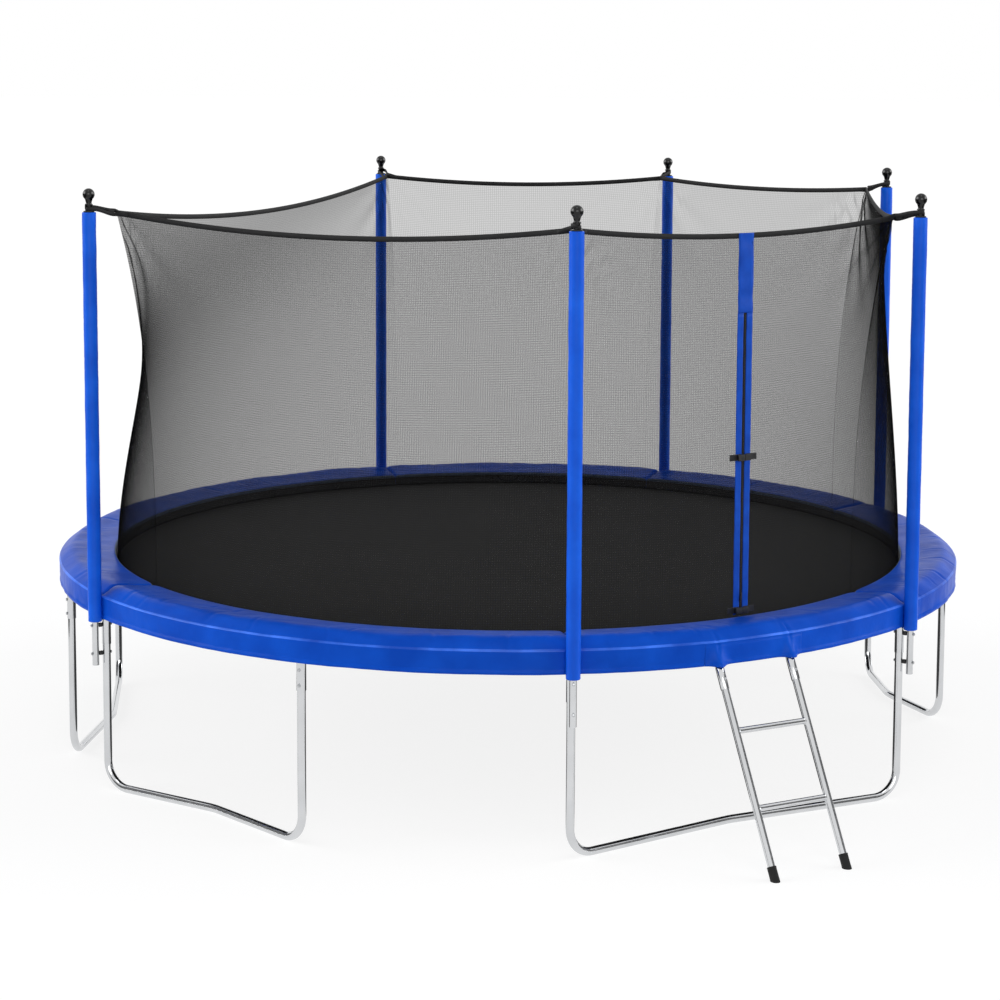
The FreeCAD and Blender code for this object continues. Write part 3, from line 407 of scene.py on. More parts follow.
ROWS = 150
wall = [(SLEEVE_RADIUS, SLEEVE_FOOT + 0.003 + (POLE_TOP - SLEEVE_FOOT - 0.006) * i / ROWS)
        for i in range(ROWS + 1)]
for index, bearing in enumerate(POLES):
    bm = bmesh.new()
    outline = [(SLEEVE_BORE, POLE_TOP - 0.002), (SLEEVE_BORE, SLEEVE_FOOT + 0.002), (0.022, SLEEVE_FOOT),
               (0.0305, SLEEVE_FOOT + 0.0006)] + wall + [(0.0305, POLE_TOP - 0.0006), (0.022, POLE_TOP)]
    place = facing(bearing, POLE_RING)
    lathe(bm, outline, place, 36)
    for vert in bm.verts:
        out = vert.co - place.translation
        out.z = 0.0
        if out.length > 0.03:
            away = out.normalized()
            seam = math.exp(-(math.degrees(away.angle(-(place.to_3x3() @ Vector((1, 0, 0))))) / 6.0) ** 2)
            ruck = waves(Vector((0.0, 0.3 * away.x, vert.co.z * 2.2)), 0.03, 0.0009, index)
            vert.co += away * (waves(vert.co, 0.09, 0.0011, index) + min(0.0, ruck) - 0.0007 + 0.0006 * seam)
    sleeve = made_piece("sleeve_%d" % (index + 1), bm, sleeve_film_painted_light)
    fitted(sleeve, "frame", "blue_cover", "pole_sleeve_%d" % (index + 1))

# Ball caps
# Black plastic caps, moulded in one piece: a flange that sits on the pole and its sleeve, a neck for
# the net's strap, a bead that keeps the strap down, and a polished ball.

BALL_RADIUS, BALL_HEIGHT = 0.028, 2.827

# Polished ABS: deep glossy black with a clear sharp highlight.
black_gloss, tree = blank_material("black_abs_polished")
where = add_node(tree, "TexCoord").outputs["Object"]
film = add_node(tree, "TexNoise", {"Vector": where, "Scale": 80.0, "Detail": 2.0})
worn = add_node(tree, "MapRange", {"Value": film, "To Min": 0.08, "To Max": 0.18})
plastic = add_node(tree, "BsdfPrincipled", {"Base Color": colour("#0A0A0B"), "Roughness": worn,
                                            "Specular IOR Level": 0.25, "Coat Weight": 0.2,
                                            "Coat Roughness": 0.06})
add_node(tree, "OutputMaterial", {"Surface": plastic})

foot = POLE_TOP + 0.0003
outline = [(0.0, 0.0), (0.0245, 0.0), (0.0258, 0.001), (0.0258, 0.0035), (0.0235, 0.0058), (0.017, 0.0063),
           (0.015, 0.0075), (0.015, 0.03), (0.016, 0.0318), (0.018, 0.0325), (0.0184, 0.0345),
           (0.018, 0.0368), (0.015, 0.0385), (0.0136, 0.041), (0.0134, 0.044)]
outline = [(radius, foot + rise) for radius, rise in outline]
start = math.asin(0.0134 / BALL_RADIUS)
for i in range(1, 14):
    turn = start + (math.pi - start) * i / 14
    outline.append((BALL_RADIUS * math.sin(turn), BALL_HEIGHT - BALL_RADIUS * math.cos(turn)))
outline.append((0.0, BALL_HEIGHT + BALL_RADIUS))
bm = bmesh.new()
for bearing in POLES:
    lathe(bm, outline, facing(bearing, POLE_RING), 36)
fitted(made_piece("ball_caps", bm, black_gloss), "frame", "black_gloss_plastic", "pole_caps")

# Jumping mat
# One round sheet of black woven polypropylene, 4.1 m across and stretched tight by the springs.

MAT_RADIUS, MAT_TOP, MAT_FOOT = 2.0473, 0.8995, 0.8965

# Woven polypropylene tape: near black, with a plain weave (drawn at 6 mm so that it shows) that
# catches the light a little on the crests of its tapes.
black_mat, tree = blank_material("black_polypropylene_woven")
where = add_node(tree, "TexCoord").outputs["Object"]
warp = add_node(tree, "TexWave", {"Vector": where, "Scale": 52.0}, bands_direction="X")
weft = add_node(tree, "TexWave", {"Vector": where, "Scale": 52.0}, bands_direction="Y")
weave = add_node(tree, "Math", {0: warp.outputs["Fac"], 1: weft.outputs["Fac"]}, operation="MULTIPLY")
stretch = add_node(tree, "TexNoise", {"Vector": where, "Scale": 1.6, "Detail": 3.0})
tone = add_node(tree, "MixRGB", {"Fac": stretch, "Color1": colour("#333333"), "Color2": colour("#393939")})
relief = add_node(tree, "Bump", {"Height": weave, "Strength": 0.12, "Distance": 0.0008})
tapes = add_node(tree, "BsdfPrincipled", {"Base Color": tone, "Roughness": 0.85,
                                          "Specular IOR Level": 0.08, "Normal": relief})
add_node(tree, "OutputMaterial", {"Surface": tapes})

bm = bmesh.new()
lathe(bm, [(0.0, MAT_FOOT), (0.7, MAT_FOOT), (1.4, MAT_FOOT), (MAT_RADIUS - 0.001, MAT_FOOT),
           (MAT_RADIUS, MAT_FOOT + 0.0015), (MAT_RADIUS - 0.001, MAT_TOP), (1.4, MAT_TOP), (0.7, MAT_TOP),
           (0.0, MAT_TOP)], facing(0.0), 192)
mat = made_piece("jumping_mat", bm, black_mat)
fitted(mat, "mat", "black_mat", "jump_mat")

# Mat hem
# A band of black polyester webbing, sewn under the mat's edge in four rows; the rings' loops are
# folded out of it.

# Webbing: a dull black ribbed weave, 1.5 mm a rib.
black_webbing = two_toned("black_polyester_webbing", ("#0C0C0D", "#161617"), (30.0, 2.0),
                          {"Roughness": 0.75, "Specular IOR Level": 0.3},
                          ("TexVoronoi", {"Scale": 650.0}, "Distance"), (0.4, 0.0006))

bm = bmesh.new()
band = [(MAT_RADIUS - 0.044, MAT_FOOT - 0.0022), (MAT_RADIUS - 0.0435, MAT_FOOT - 0.0002),
        (MAT_RADIUS - 0.0005, MAT_FOOT - 0.0002), (MAT_RADIUS, MAT_FOOT - 0.0022)]
lathe(bm, band, facing(0.0), 192)
fitted(made_piece("hem_band", bm, black_webbing), "mat", "black_webbing", "mat_hem")

# Triangular rings
# Zinc-plated wire 4.4 mm thick, bent to a triangle whose long side lies in a loop of the hem. A spring hooks
# into the corner that points outwards.

SPRINGS_PER_RAIL = 8
SPRING_BEARINGS = [FIRST_JOINT + (i + 0.5) * span / SPRINGS_PER_RAIL
                   for i in range(RAIL_COUNT * SPRINGS_PER_RAIL)]
EYE_START, EYE_LENGTH, EYE_WIRE = 2.0505, 0.03, 0.0022


def repeated(bm, template, place):
    # One more copy of a template mesh, put in its place
    before = len(bm.verts)
    bm.from_mesh(template)
    bm.verts.ensure_lookup_table()
    bmesh.ops.transform(bm, matrix=place, verts=bm.verts[before:])


def as_template(one, name):
    template = bpy.data.meshes.new(name)
    one.to_mesh(template)
    one.free()
    return template


one = bmesh.new()
base = EYE_START + 0.003
corners = [(base, 0.0), (base, 0.0145), (EYE_START + EYE_LENGTH, 0.0), (base, -0.0145), (base, -0.0002)]
tube(one, [Vector((x, y, RING_HEIGHT)) for x, y in corners], (0.004, 0.003, 0.004), EYE_WIRE, 6)
ring_mesh = as_template(one, "ring_template")
bm = bmesh.new()
for bearing in SPRING_BEARINGS:
    repeated(bm, ring_mesh, facing(bearing))
fitted(made_piece("v_rings", bm, zinc_plated), "mat", "zinc_steel", "spring_eyes")

# Springs
# 96 close-wound springs of zinc-plated wire, with a hook at each end: one in the mat's ring, the other
# in a slot of the rail. The turns are drawn wider apart than real, to keep each spring light.

COIL_RADIUS, COIL_WIRE, COIL_TURNS = 0.0056, 0.0014, 17
COIL_FROM, COIL_TO = 2.098, 2.234
HOOK_FROM, HOOK_TO = 2.0845, 2.2475

one = bmesh.new()
start = Matrix.Translation((COIL_FROM, COIL_RADIUS, RING_HEIGHT)) @ turned(90, "Y") @ turned(90, "X")
wire = ring(one, start, COIL_WIRE, 5)
verts = list({vert for edge in wire for vert in edge.verts})
steps = COIL_TURNS * 8
bmesh.ops.spin(one, geom=verts + wire, cent=(COIL_FROM, 0.0, RING_HEIGHT), axis=(1.0, 0.0, 0.0),
               steps=steps, dvec=((COIL_TO - COIL_FROM) / steps, 0.0, 0.0), angle=math.tau * COIL_TURNS,
               use_merge=False)
for near, far, side in ((COIL_FROM, HOOK_FROM, 1.0), (COIL_TO, HOOK_TO, -1.0)):
    tube(one, [Vector((near, COIL_RADIUS * side, RING_HEIGHT)), Vector((near, 0.0, RING_HEIGHT + 0.001)),
               Vector((far, 0.0, RING_HEIGHT + 0.004)), Vector((far, 0.0, RING_HEIGHT - 0.005))],
         (0.002, 0.003), COIL_WIRE, 5)
bmesh.ops.holes_fill(one, edges=one.edges)
spring_mesh = as_template(one, "spring_template")
SPRINGS_PER_PIECE = 4
for group in range(len(SPRING_BEARINGS) // SPRINGS_PER_PIECE):
    bm = bmesh.new()
    bearings = SPRING_BEARINGS[group * SPRINGS_PER_PIECE:][:SPRINGS_PER_PIECE]
    for bearing in bearings:
        repeated(bm, spring_mesh, facing(bearing))
    coils = made_piece("springs_%d" % (group + 1), bm, zinc_plated)
    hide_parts("springs")
    middle = sum(bearings) / len(bearings)
    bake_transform(coils)

# Spring cover
# Six padded sectors that meet at the poles: a slab of foam, higher towards the outside, in blue PVC that
# is folded down over the frame as a skirt with a sewn hem. A grey tape binds the slab's inner edge, and
# a black cloth under it closes the slot over the springs. Seams and handling draw creases across it.

PAD_FOOT = 0.9173
SKIRT_TOP, SKIRT_FOOT = 0.93, 0.8335
LADDER_BEARING, LADDER_HALF = 28.3, 0.186
HINGE_RADIUS = 2.260755
hook_turn = math.degrees(math.asin(LADDER_HALF / RING_RADIUS))
HOOK_BEARINGS = (LADDER_BEARING - hook_turn, LADDER_BEARING + hook_turn)
FLAP_TURN = 6.4
TAPE_FOOT_HEIGHT, TAPE_TOP_HEIGHT = 0.9465, 0.965
# The middle of the cover's width, the fold's radius and height, and the seam and the mesh's step in degrees
PAD_MIDDLE, FOLD_RADIUS, FOLD_HEIGHT = 2.16, 2.29, 0.945
SEAM, PAD_STEP = 0.02, 0.22
# The tape lies inside the first of these radii and the under-cloth inside the second
TAPE_RADIUS, CLOTH_RADIUS = 2.0225, 2.295

# Bound edge: matt grey-blue polyester tape, a little worn.
grey_tape = two_toned("grey_polyester_binding", ("#5A667C", "#78849A"), (35.0, 4.0),
                      {"Roughness": 0.8, "Specular IOR Level": 0.2},
                      ("TexWave", {"Scale": 160.0}, "Fac"), (0.2, 0.0004), bands_direction="Z")

# Under-cloth: black woven polyethylene, matt, with the crossed tapes of its weave 3 mm apart. It is drawn
# mid-grey as painted light, so that its shaded face below the pad shows the tone of the lit mat.
under_cloth_painted_light, tree = blank_material("black_polyethylene_painted_light")
where = add_node(tree, "TexCoord").outputs["Object"]
tapes = add_node(tree, "TexBrick", {"Vector": where, "Scale": 160.0, "Color1": colour("#565658"),
                                    "Color2": colour("#626264"), "Mortar": colour("#3A3A3C")})
cloth = add_node(tree, "BsdfPrincipled", {"Base Color": tapes, "Roughness": 0.85, "Specular IOR Level": 0.1})
add_node(tree, "OutputMaterial", {"Surface": cloth})

SKIRT = [(2.3002, SKIRT_TOP), (2.3, 0.912), (2.2995, 0.893), (2.2992, 0.874), (2.2992, 0.86),
         (2.2994, 0.85), (2.3006, 0.8485), (2.3008, 0.835), (2.2995, SKIRT_FOOT)]
INNER_EDGE = [(2.0195, 0.904), (2.0185, 0.906), (2.0195, 0.92), (2.02, 0.935), (2.02, TAPE_FOOT_HEIGHT),
              (2.0185, 0.948), (2.0185, 0.956), (2.02, 0.9625), (2.024, TAPE_TOP_HEIGHT)]
TOP = [(2.03, 0.9665), (2.042, 0.968), (2.06, 0.9697), (2.08, 0.9718), (2.1, 0.9742),
       (2.12, 0.9768), (2.14, 0.9795), (2.16, 0.9822), (2.18, 0.9848), (2.2, 0.9868),
       (2.215, 0.9876), (2.229, 0.9866), (2.242, 0.9824), (2.254, 0.9752), (2.266, 0.9664),
       (2.277, 0.958), (2.287, 0.9502), (2.2935, 0.9452), (2.2975, 0.942), (2.2998, 0.9392), (2.3006, 0.9355)]
LINING = [(2.297, 0.8345), (2.2965, 0.86), (2.2965, 0.893), (2.2965, 0.908), (2.293, PAD_FOOT)]
UNDER = [(2.26, PAD_FOOT), (2.21, PAD_FOOT), (2.15, PAD_FOOT), (2.09, PAD_FOOT), (2.04, PAD_FOOT),
         (2.025, 0.9165), (2.0215, 0.906)]


def bearing_of(point, near):
    turn = math.degrees(math.atan2(point.x - AXIS.x, AXIS.y - point.y))
    while turn < near - 180.0:
        turn += 360.0
    return turn


def bump_at(distance, width):
    return math.exp(-(distance / width) ** 2)


def held(value, low=0.0):
    return min(1.0, max(low, value))


def crease_lines(start, end, seed):
    # Each crease: its place along the arc, slant, inner and outer radius, depth and width
    chance = random.Random(seed)
    lines, along = [], math.radians(start) * PAD_MIDDLE
    while True:
        along += chance.uniform(0.07, 0.34)
        if along > math.radians(end) * PAD_MIDDLE - 0.05:
            return lines
        lines.append((along, chance.uniform(-0.35, 0.35), chance.uniform(2.02, 2.16),
                      chance.uniform(2.24, 2.36), chance.uniform(0.0018, 0.0055),
                      chance.uniform(0.007, 0.017)))


def cover_form(point, start, end, seed, lines):
    # Where a point of the plain section goes: seams, fullness, creases, and the skirt's soft waves
    out = Vector((point.x - AXIS.x, point.y - AXIS.y, 0.0))
    radius, away = out.length, out.normalized()
    bearing = bearing_of(point, (start + end) / 2)
    to_end = math.radians(min(bearing - start, end - bearing)) * radius
    along = math.radians(bearing) * PAD_MIDDLE
    moved = point.copy()
    upper = held((point.z - SKIRT_TOP) / 0.03)
    beside = [math.radians(bearing - hook) * radius for hook in HOOK_BEARINGS]
    pinch = sum(bump_at(distance, 0.007) - 0.5 * bump_at(distance, 0.022) for distance in beside)
    crease = 0.0
    for place, slant, inner, outer, depth, width in lines:
        off = (along - place - slant * (radius - PAD_MIDDLE)) / width
        if abs(off) < 5.0:
            reach = held((radius - inner) / 0.06) * held((outer - radius) / 0.05)
            crease += depth * reach * (bump_at(off, 1.0) - 0.45 * bump_at(off, 2.2))
    if upper > 0.0:
        fall = 0.2 * bump_at(to_end, 0.009) + 0.07 * bump_at(to_end, 0.05)
        full = held((radius - 2.03) / 0.1, 0.15)
        lift = waves(Vector((along, radius, seed)), 0.3, 0.006, seed) * full
        lift += waves(Vector((along, radius * 2, seed)), 0.1, 0.003, seed) * full
        fold = bump_at(radius - FOLD_RADIUS, 0.032)
        moved.z += ((lift - 0.002) - (point.z - PAD_FOOT) * fall - crease - 0.008 * pinch * fold) * upper
        moved -= away * (0.6 * crease * fold + 0.008 * pinch * fold + 0.003 * bump_at(to_end, 0.02)) * upper
        if radius < 2.05:
            moved += away * 0.01 * bump_at(to_end, 0.022)
    if radius > FOLD_RADIUS and point.z < FOLD_HEIGHT:
        low = min(1.0, (FOLD_HEIGHT - point.z) / 0.1)
        sway = waves(Vector((along, 0.0, seed)), 0.24, 0.006, seed)
        sway += waves(Vector((along, point.z * 2, seed)), 0.07, 0.0024, seed)
        high = 1.0 - low
        moved += away * ((sway - 0.002) * low - 0.5 * crease * (0.3 + 0.7 * high) - 0.006 * pinch * high
                         - 0.003 * bump_at(to_end, 0.02))
    return moved


sectors = [(a, b if b > a else b + 360.0) for a, b in zip(POLES, POLES[1:] + POLES[:1])]
sector_creases = [crease_lines(start, end, 11 + index) for index, (start, end) in enumerate(sectors)]
section = INNER_EDGE + TOP + SKIRT + LINING + UNDER
for index, (start, end) in enumerate(sectors):
    bm = bmesh.new()
    edges = outlined(bm, section, facing(start + SEAM), True)[1]
    last = swung(bm, edges, AXIS, up, end - start - 2 * SEAM, round((end - start) / PAD_STEP))
    bmesh.ops.holes_fill(bm, edges=edges + last)
    gone = []
    for face in [face for face in bm.faces if len(face.verts) == 4]:
        middle = face.calc_center_median()
        radius = (middle - AXIS).xy.length
        if radius < TAPE_RADIUS and TAPE_FOOT_HEIGHT < middle.z < TAPE_TOP_HEIGHT:
            face.material_index = 1
        # Below the tape the inner face and the underside take the under-cloth, painted lighter than black
        # against its shade
        elif radius < CLOTH_RADIUS and middle.z < TAPE_FOOT_HEIGHT:
            face.material_index = 2
        # The strip along the fold takes a painted highlight, paler and glossier, in place of the light along
        # the fold
        elif radius > FOLD_RADIUS and SKIRT_TOP + 0.004 < middle.z < SKIRT_TOP + 0.0165:
            face.material_index = 3
        off = abs(bearing_of(middle, start) - LADDER_BEARING)
        over_ladder = start < LADDER_BEARING < end and off < FLAP_TURN
        if over_ladder and radius > CLOTH_RADIUS and middle.z < SKIRT_TOP:
            gone.append(face)
    bmesh.ops.delete(bm, geom=gone, context="FACES")
    for vert in bm.verts:
        vert.co = cover_form(vert.co, start, end, index, sector_creases[index])
    cover = made_piece("spring_cover_%d" % (index + 1), bm, blue_cover, grey_tape, under_cloth_painted_light, fold_strip_painted_highlight,
                       sharp=60.0)
    fitted(cover, "frame", "blue_cover", "pad_sector_%d" % (index + 1))

# Skirt flap at the ladder
# The piece of the skirt that hangs over the ladder's tubes. It is slit from the rest at both sides.

DOOR_BAY = 1
SLIT = 0.008


def outward(point):
    return (point - AXIS).xy.to_3d().normalized()


def thickened(piece, name, thickness, offset=0.0):
    thicken = piece.modifiers.new(name, "SOLIDIFY")
    thicken.thickness, thicken.offset = thickness, offset
    return piece


bm = bmesh.new()
first = sectors[DOOR_BAY][0] + SEAM
flap_from, flap_to = [first + round((edge - first) / PAD_STEP) * PAD_STEP
                      for edge in (LADDER_BEARING - FLAP_TURN, LADDER_BEARING + FLAP_TURN)]
edges = outlined(bm, SKIRT, facing(flap_from + SLIT), False)[1]
swung(bm, edges, AXIS, up, flap_to - flap_from - 2 * SLIT, 80)
for vert in bm.verts:
    bearing = bearing_of(vert.co, 0.0)
    low = held((SKIRT_TOP - vert.co.z) / (SKIRT_TOP - SKIRT_FOOT))
    over = sum(bump_at(math.radians(bearing - hook) * 2.3, 0.034) for hook in HOOK_BEARINGS)
    vert.co = cover_form(vert.co, *sectors[DOOR_BAY], DOOR_BAY, sector_creases[DOOR_BAY])
    vert.co += outward(vert.co) * 0.044 * over * low ** 1.4
flap = thickened(made_piece("skirt_flap", bm, blue_cover, sharp=60.0), "film", 0.0025, -1.0)
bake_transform(flap)

# Safety net
# Knitted black polyester net in seven panels, sewn into one wall. It is laced to the frame at its foot
# and hangs from the pole tops by its corners only, so it is drawn inwards between its corners.

NET_RADIUS, NET_FOOT = 2.008, 0.902
CORNER_RADIUS, CORNER_HEIGHT = 2.19, 2.75
HEM_HEIGHT = 0.024
NET_SAGS = (0.075, 0.054, 0.038, 0.03, 0.042, 0.098)
NET_FLARE, NET_LEAN = 1.0, 1.8
DOOR_BEARING, DOOR_HALF = 31.5, 0.004
PLEATS, PLEAT_DEPTH, PLEAT_REACH = 12, 0.012, 0.45
UNDER_HEM = 0.9885

# Knitted polyester net: black threads a millimetre thick, 5 mm apart. More threads stand in line where
# it is seen at a slant, so part of its grey is a thin smoky filling inside the wall and part the
# threads themselves, drawn 11 mm apart and uneven, so that they show.
THREAD_PITCH, THREAD_SHARE, NET_THICK = 0.011, 0.26, 0.004
black_net, tree = blank_material("black_polyester_net")
where = add_node(tree, "TexCoord").outputs["UV"]
uneven = add_node(tree, "TexNoise", {"Vector": where, "Scale": 11.0, "Detail": 3.0})
slack = add_node(tree, "VectorMath", {0: uneven.outputs["Color"], 1: (0.007, 0.007, 0.0), 2: where},
                 operation="MULTIPLY_ADD")
cells = add_node(tree, "VectorMath", {0: slack, "Scale": 1.0 / THREAD_PITCH}, operation="SCALE")
inside = add_node(tree, "VectorMath", {0: cells}, operation="FRACTION")
split = add_node(tree, "SeparateXYZ", {"Vector": inside})
upright_thread = add_node(tree, "Math", {0: split.outputs["X"], 1: THREAD_SHARE}, operation="LESS_THAN")
level_thread = add_node(tree, "Math", {0: split.outputs["Y"], 1: THREAD_SHARE}, operation="LESS_THAN")
thread = add_node(tree, "Math", {0: upright_thread, 1: level_thread}, operation="MAXIMUM")
cover = add_node(tree, "MapRange", {"Value": thread, "To Min": 0.105, "To Max": 0.2})
yarn = add_node(tree, "BsdfPrincipled", {"Base Color": colour("#161617"), "Roughness": 0.8,
                                         "Specular IOR Level": 0.1, "Alpha": cover})
filling = add_node(tree, "VolumeAbsorption", {"Color": (0.0, 0.0, 0.0, 1.0), "Density": 62.0})
add_node(tree, "OutputMaterial", {"Surface": yarn, "Volume": filling})


def net_point(bay, share, level):
    # level 0 is the laced foot and 1 the top edge
    start, end = sectors[bay]
    foot = at(NET_RADIUS, start + share * (end - start), NET_FOOT)
    # The door's tapes keep the middle of their bay straight
    freedom = (1.0 - 2.0 * share) ** 2 if bay == DOOR_BAY else 1.0
    corner = NET_RADIUS + (CORNER_RADIUS - NET_RADIUS) * level ** (NET_FLARE * freedom)
    lean = level ** (1.0 + (NET_LEAN - 1.0) * freedom)
    head = at(corner, start, 0.0).lerp(at(corner, end, 0.0), share)
    point = foot.lerp(head, lean)
    point.z = NET_FOOT + (CORNER_HEIGHT - NET_SAGS[bay] * 4 * share * (1 - share) - NET_FOOT) * level
    return point


def net_panel(name, bay, first, last):
    start, end = sectors[bay]
    width = math.radians(end - start) * NET_RADIUS
    columns = max(4, round((last - first) * (end - start)))
    bm = bmesh.new()
    uv = bm.loops.layers.uv.new("thread_grid")
    bmesh.ops.create_grid(bm, x_segments=columns, y_segments=36, size=0.5, calc_uvs=True)
    for face in bm.faces:
        for loop in face.loops:
            share, level = loop.vert.co.x + 0.5, loop.vert.co.y + 0.5
            loop[uv].uv = ((first + (last - first) * share) * width, level * (CORNER_HEIGHT - NET_FOOT))
    for vert in bm.verts:
        share, level = first + (last - first) * (vert.co.x + 0.5), vert.co.y + 0.5
        vert.co = net_point(bay, share, level * UNDER_HEM)
        # Pleats that fan out from the two corners the panel hangs from
        for along in (share, 1.0 - share):
            fall, run = (1.0 - level) * (CORNER_HEIGHT - NET_FOOT), along * width
            reach = math.hypot(fall, run)
            if 0.0 < reach < 1.2:
                depth = PLEAT_DEPTH * bump_at(reach, PLEAT_REACH) * math.sin(PLEATS * math.atan2(fall, run))
                vert.co += outward(vert.co) * depth
    return thickened(made_piece(name, bm, black_net), "threads", NET_THICK), width * (last - first)


start, end = sectors[DOOR_BAY]
door_share = (DOOR_BEARING - start) / (end - start)
edge = DOOR_HALF / (math.radians(end - start) * NET_RADIUS)
PANELS = {"net_front_left": (0, 0.0, 1.0), "net_door_left": (1, 0.0, door_share - edge),
          "net_door_right": (1, door_share + edge, 1.0), "net_right": (2, 0.0, 1.0),
          "net_back_right": (3, 0.0, 1.0), "net_back": (4, 0.0, 1.0), "net_left": (5, 0.0, 1.0)}
for name, (bay, first, last) in PANELS.items():
    panel, width = net_panel(name.replace("net_", "wall_"), bay, first, last)
    fitted(panel, "frame", "black_net", name)

# Net hem
# The net's top edge is bound in doubled black webbing, 24 mm high.


def strip(bm, columns, rows):
    # A grid: each of its vertices, with how far along and how far up it lies, both from 0 to 1
    for vert in bmesh.ops.create_grid(bm, x_segments=columns, y_segments=rows, size=0.5)["verts"]:
        yield vert, vert.co.x + 0.5, vert.co.y + 0.5


bm = bmesh.new()
for bay, (start, end) in enumerate(sectors):
    for vert, share, rise in strip(bm, round((end - start) / 1.5), 2):
        vert.co = net_point(bay, share, 1.0) - Vector((0, 0, (1.0 - rise) * HEM_HEIGHT))
hem = thickened(made_piece("net_hem", bm, black_webbing), "doubled", 0.0052)
fitted(hem, "frame", "black_webbing", "net_top_hem")

# Corner straps
# At each corner a loop of black webbing goes round the cap's neck, under its bead. Its two ends run on
# along the hems of both panels and are sewn to them, with a stitched stay where they part.

STRAP_HALF, STRAP_THICK, STRAP_LIFT, STRAP_RUN = 0.0088, 0.0028, 0.0045, 0.075
NECK_RADIUS, NECK_MIDDLE = 0.0172, POLE_TOP + 0.019

bm = bmesh.new()
for corner, bearing in enumerate(POLES):
    place = facing(bearing)
    for side, bay, lift in ((1, corner, -STRAP_LIFT), (-1, corner - 1, STRAP_LIFT)):
        start, end = sectors[bay]
        share = math.degrees(STRAP_RUN / CORNER_RADIUS) / (end - start)
        hem_end = net_point(bay, share if side > 0 else 1.0 - share, 1.0) - Vector((0, 0, 0.013))
        hem_end += outward(hem_end) * 0.0036
        turn_in = place @ Vector((CORNER_RADIUS + 0.012, side * 0.008, CORNER_HEIGHT - 0.01 + 2 * lift))
        neck_in = place @ Vector((POLE_RING - 0.006, side * (NECK_RADIUS + 0.001), NECK_MIDDLE + lift))
        neck_out = place @ Vector((POLE_RING + NECK_RADIUS, 0.0, NECK_MIDDLE + lift))
        ahead, across = place.to_3x3() @ Vector((1, 0, 0)), place.to_3x3() @ Vector((0, side, 0))
        path = interpolate_bezier(hem_end, hem_end.lerp(turn_in, 0.5), turn_in - ahead * 0.015, turn_in, 8)
        path += interpolate_bezier(turn_in, turn_in + ahead * 0.03, neck_in - ahead * 0.045 + across * 0.004,
                                   neck_in, 9)[1:]
        path += interpolate_bezier(neck_in, neck_in + ahead * 0.016, neck_out + across * 0.01,
                                   neck_out, 7)[1:]
        last = len(path) - 1
        for vert, share, rise in strip(bm, last, 2):
            vert.co = path[round(share * last)] + Vector(up) * STRAP_HALF * (2 * rise - 1)
straps = thickened(made_piece("corner_straps", bm, black_webbing), "webbing", STRAP_THICK)
fitted(straps, "frame", "black_webbing", "net_straps")

bm = bmesh.new()
for bearing in POLES:
    place = facing(bearing, CORNER_RADIUS + 0.026, CORNER_HEIGHT - 0.01) @ turned(-8, "Y")
    rounded_block(bm, place, (0.03, 0.0125, 0.0235), 0.003)
fitted(made_piece("strap_stays", bm, black_webbing), "frame", "black_webbing")

# Foot loops
# Flat webbing loops that lace the net's foot to the frame, over the springs and under the cover. They
# dip under the cover's inner edge.

LOOP_RUN = [(2.0095, 0.9017), (2.035, 0.9018), (2.055, 0.9024), (2.072, 0.9055), (2.09, 0.9086),
            (2.11, 0.9091), (2.16, 0.9091), (2.21, 0.9091), (2.252, 0.9091)]
LOOP_COUNT, LOOP_WIDTH = 24, 0.0118
last = len(LOOP_RUN) - 1
bm = bmesh.new()
for i in range(LOOP_COUNT):
    place = facing(FIRST_JOINT + i * 360.0 / LOOP_COUNT)
    for vert, share, rise in strip(bm, last, 1):
        radius, height = LOOP_RUN[round(share * last)]
        vert.co = place @ Vector((radius, (rise - 0.5) * LOOP_WIDTH, height))
loops = thickened(made_piece("foot_loops", bm, black_webbing), "webbing", 0.0018)
fitted(loops, "frame", "black_webbing", "net_loops")

# Door
# Two tapes of blue ribbon with the black zip between them, under a doubled length of the ribbon
# that hangs from the hem. The zip's own woven tapes are sewn behind the ribbons.

DOOR_FACE = 2.012
TAPE_INNER, TAPE_OUTER = 0.0085, 0.041
TAPE_FOOT, ZIP_TOP = 0.972, 2.34

# Satin ribbon: a dense blue weave with ribs across, drawn 2 mm apart so that they show, and a silky
# highlight.
blue_ribbon = two_toned("blue_polyester_ribbon", ("#06338F", "#1254C6"), (14.0, 4.0),
                        {"Roughness": 0.42, "Specular IOR Level": 0.12},
                        ("TexWave", {"Scale": 160.0}, "Fac"), (0.15, 0.0004), bands_direction="Z")

head = net_point(DOOR_BAY, door_share, 1.0).z
bm = bmesh.new()
for side_from, side_to, low, high, creased in ((-TAPE_OUTER, -TAPE_INNER, TAPE_FOOT, ZIP_TOP, 0.0018),
                                               (TAPE_INNER, TAPE_OUTER, TAPE_FOOT, ZIP_TOP, 0.0018),
                                               (-TAPE_OUTER, TAPE_OUTER, ZIP_TOP + 0.0003, head, 0.0045)):
    for vert, share, rise in strip(bm, 6, 60):
        side = side_from + (side_to - side_from) * share
        height = low + (high - low) * rise
        crease = waves(Vector((side * 0.5, height, 0.0)), 0.06, creased, 3)
        vert.co = facing(DOOR_BEARING) @ Vector((DOOR_FACE + 0.0008 + crease, side, height))
ribbon = thickened(made_piece("door_ribbon", bm, blue_ribbon), "ribbon", 0.0015)
fitted(ribbon, "frame", "blue_webbing", "door_tapes")

# Zip
# A coarse black nylon coil zip: interlocked teeth 6 mm apart, sewn to black woven tapes.

TOOTH_PITCH = 0.006


def door_block(bm, out, side, height, size, edge, segments=2):
    # A rounded block at the door: how far out it lies, how far to the side and how high
    place = facing(DOOR_BEARING) @ Matrix.Translation((out, side, height))
    rounded_block(bm, place, size, edge, segments)


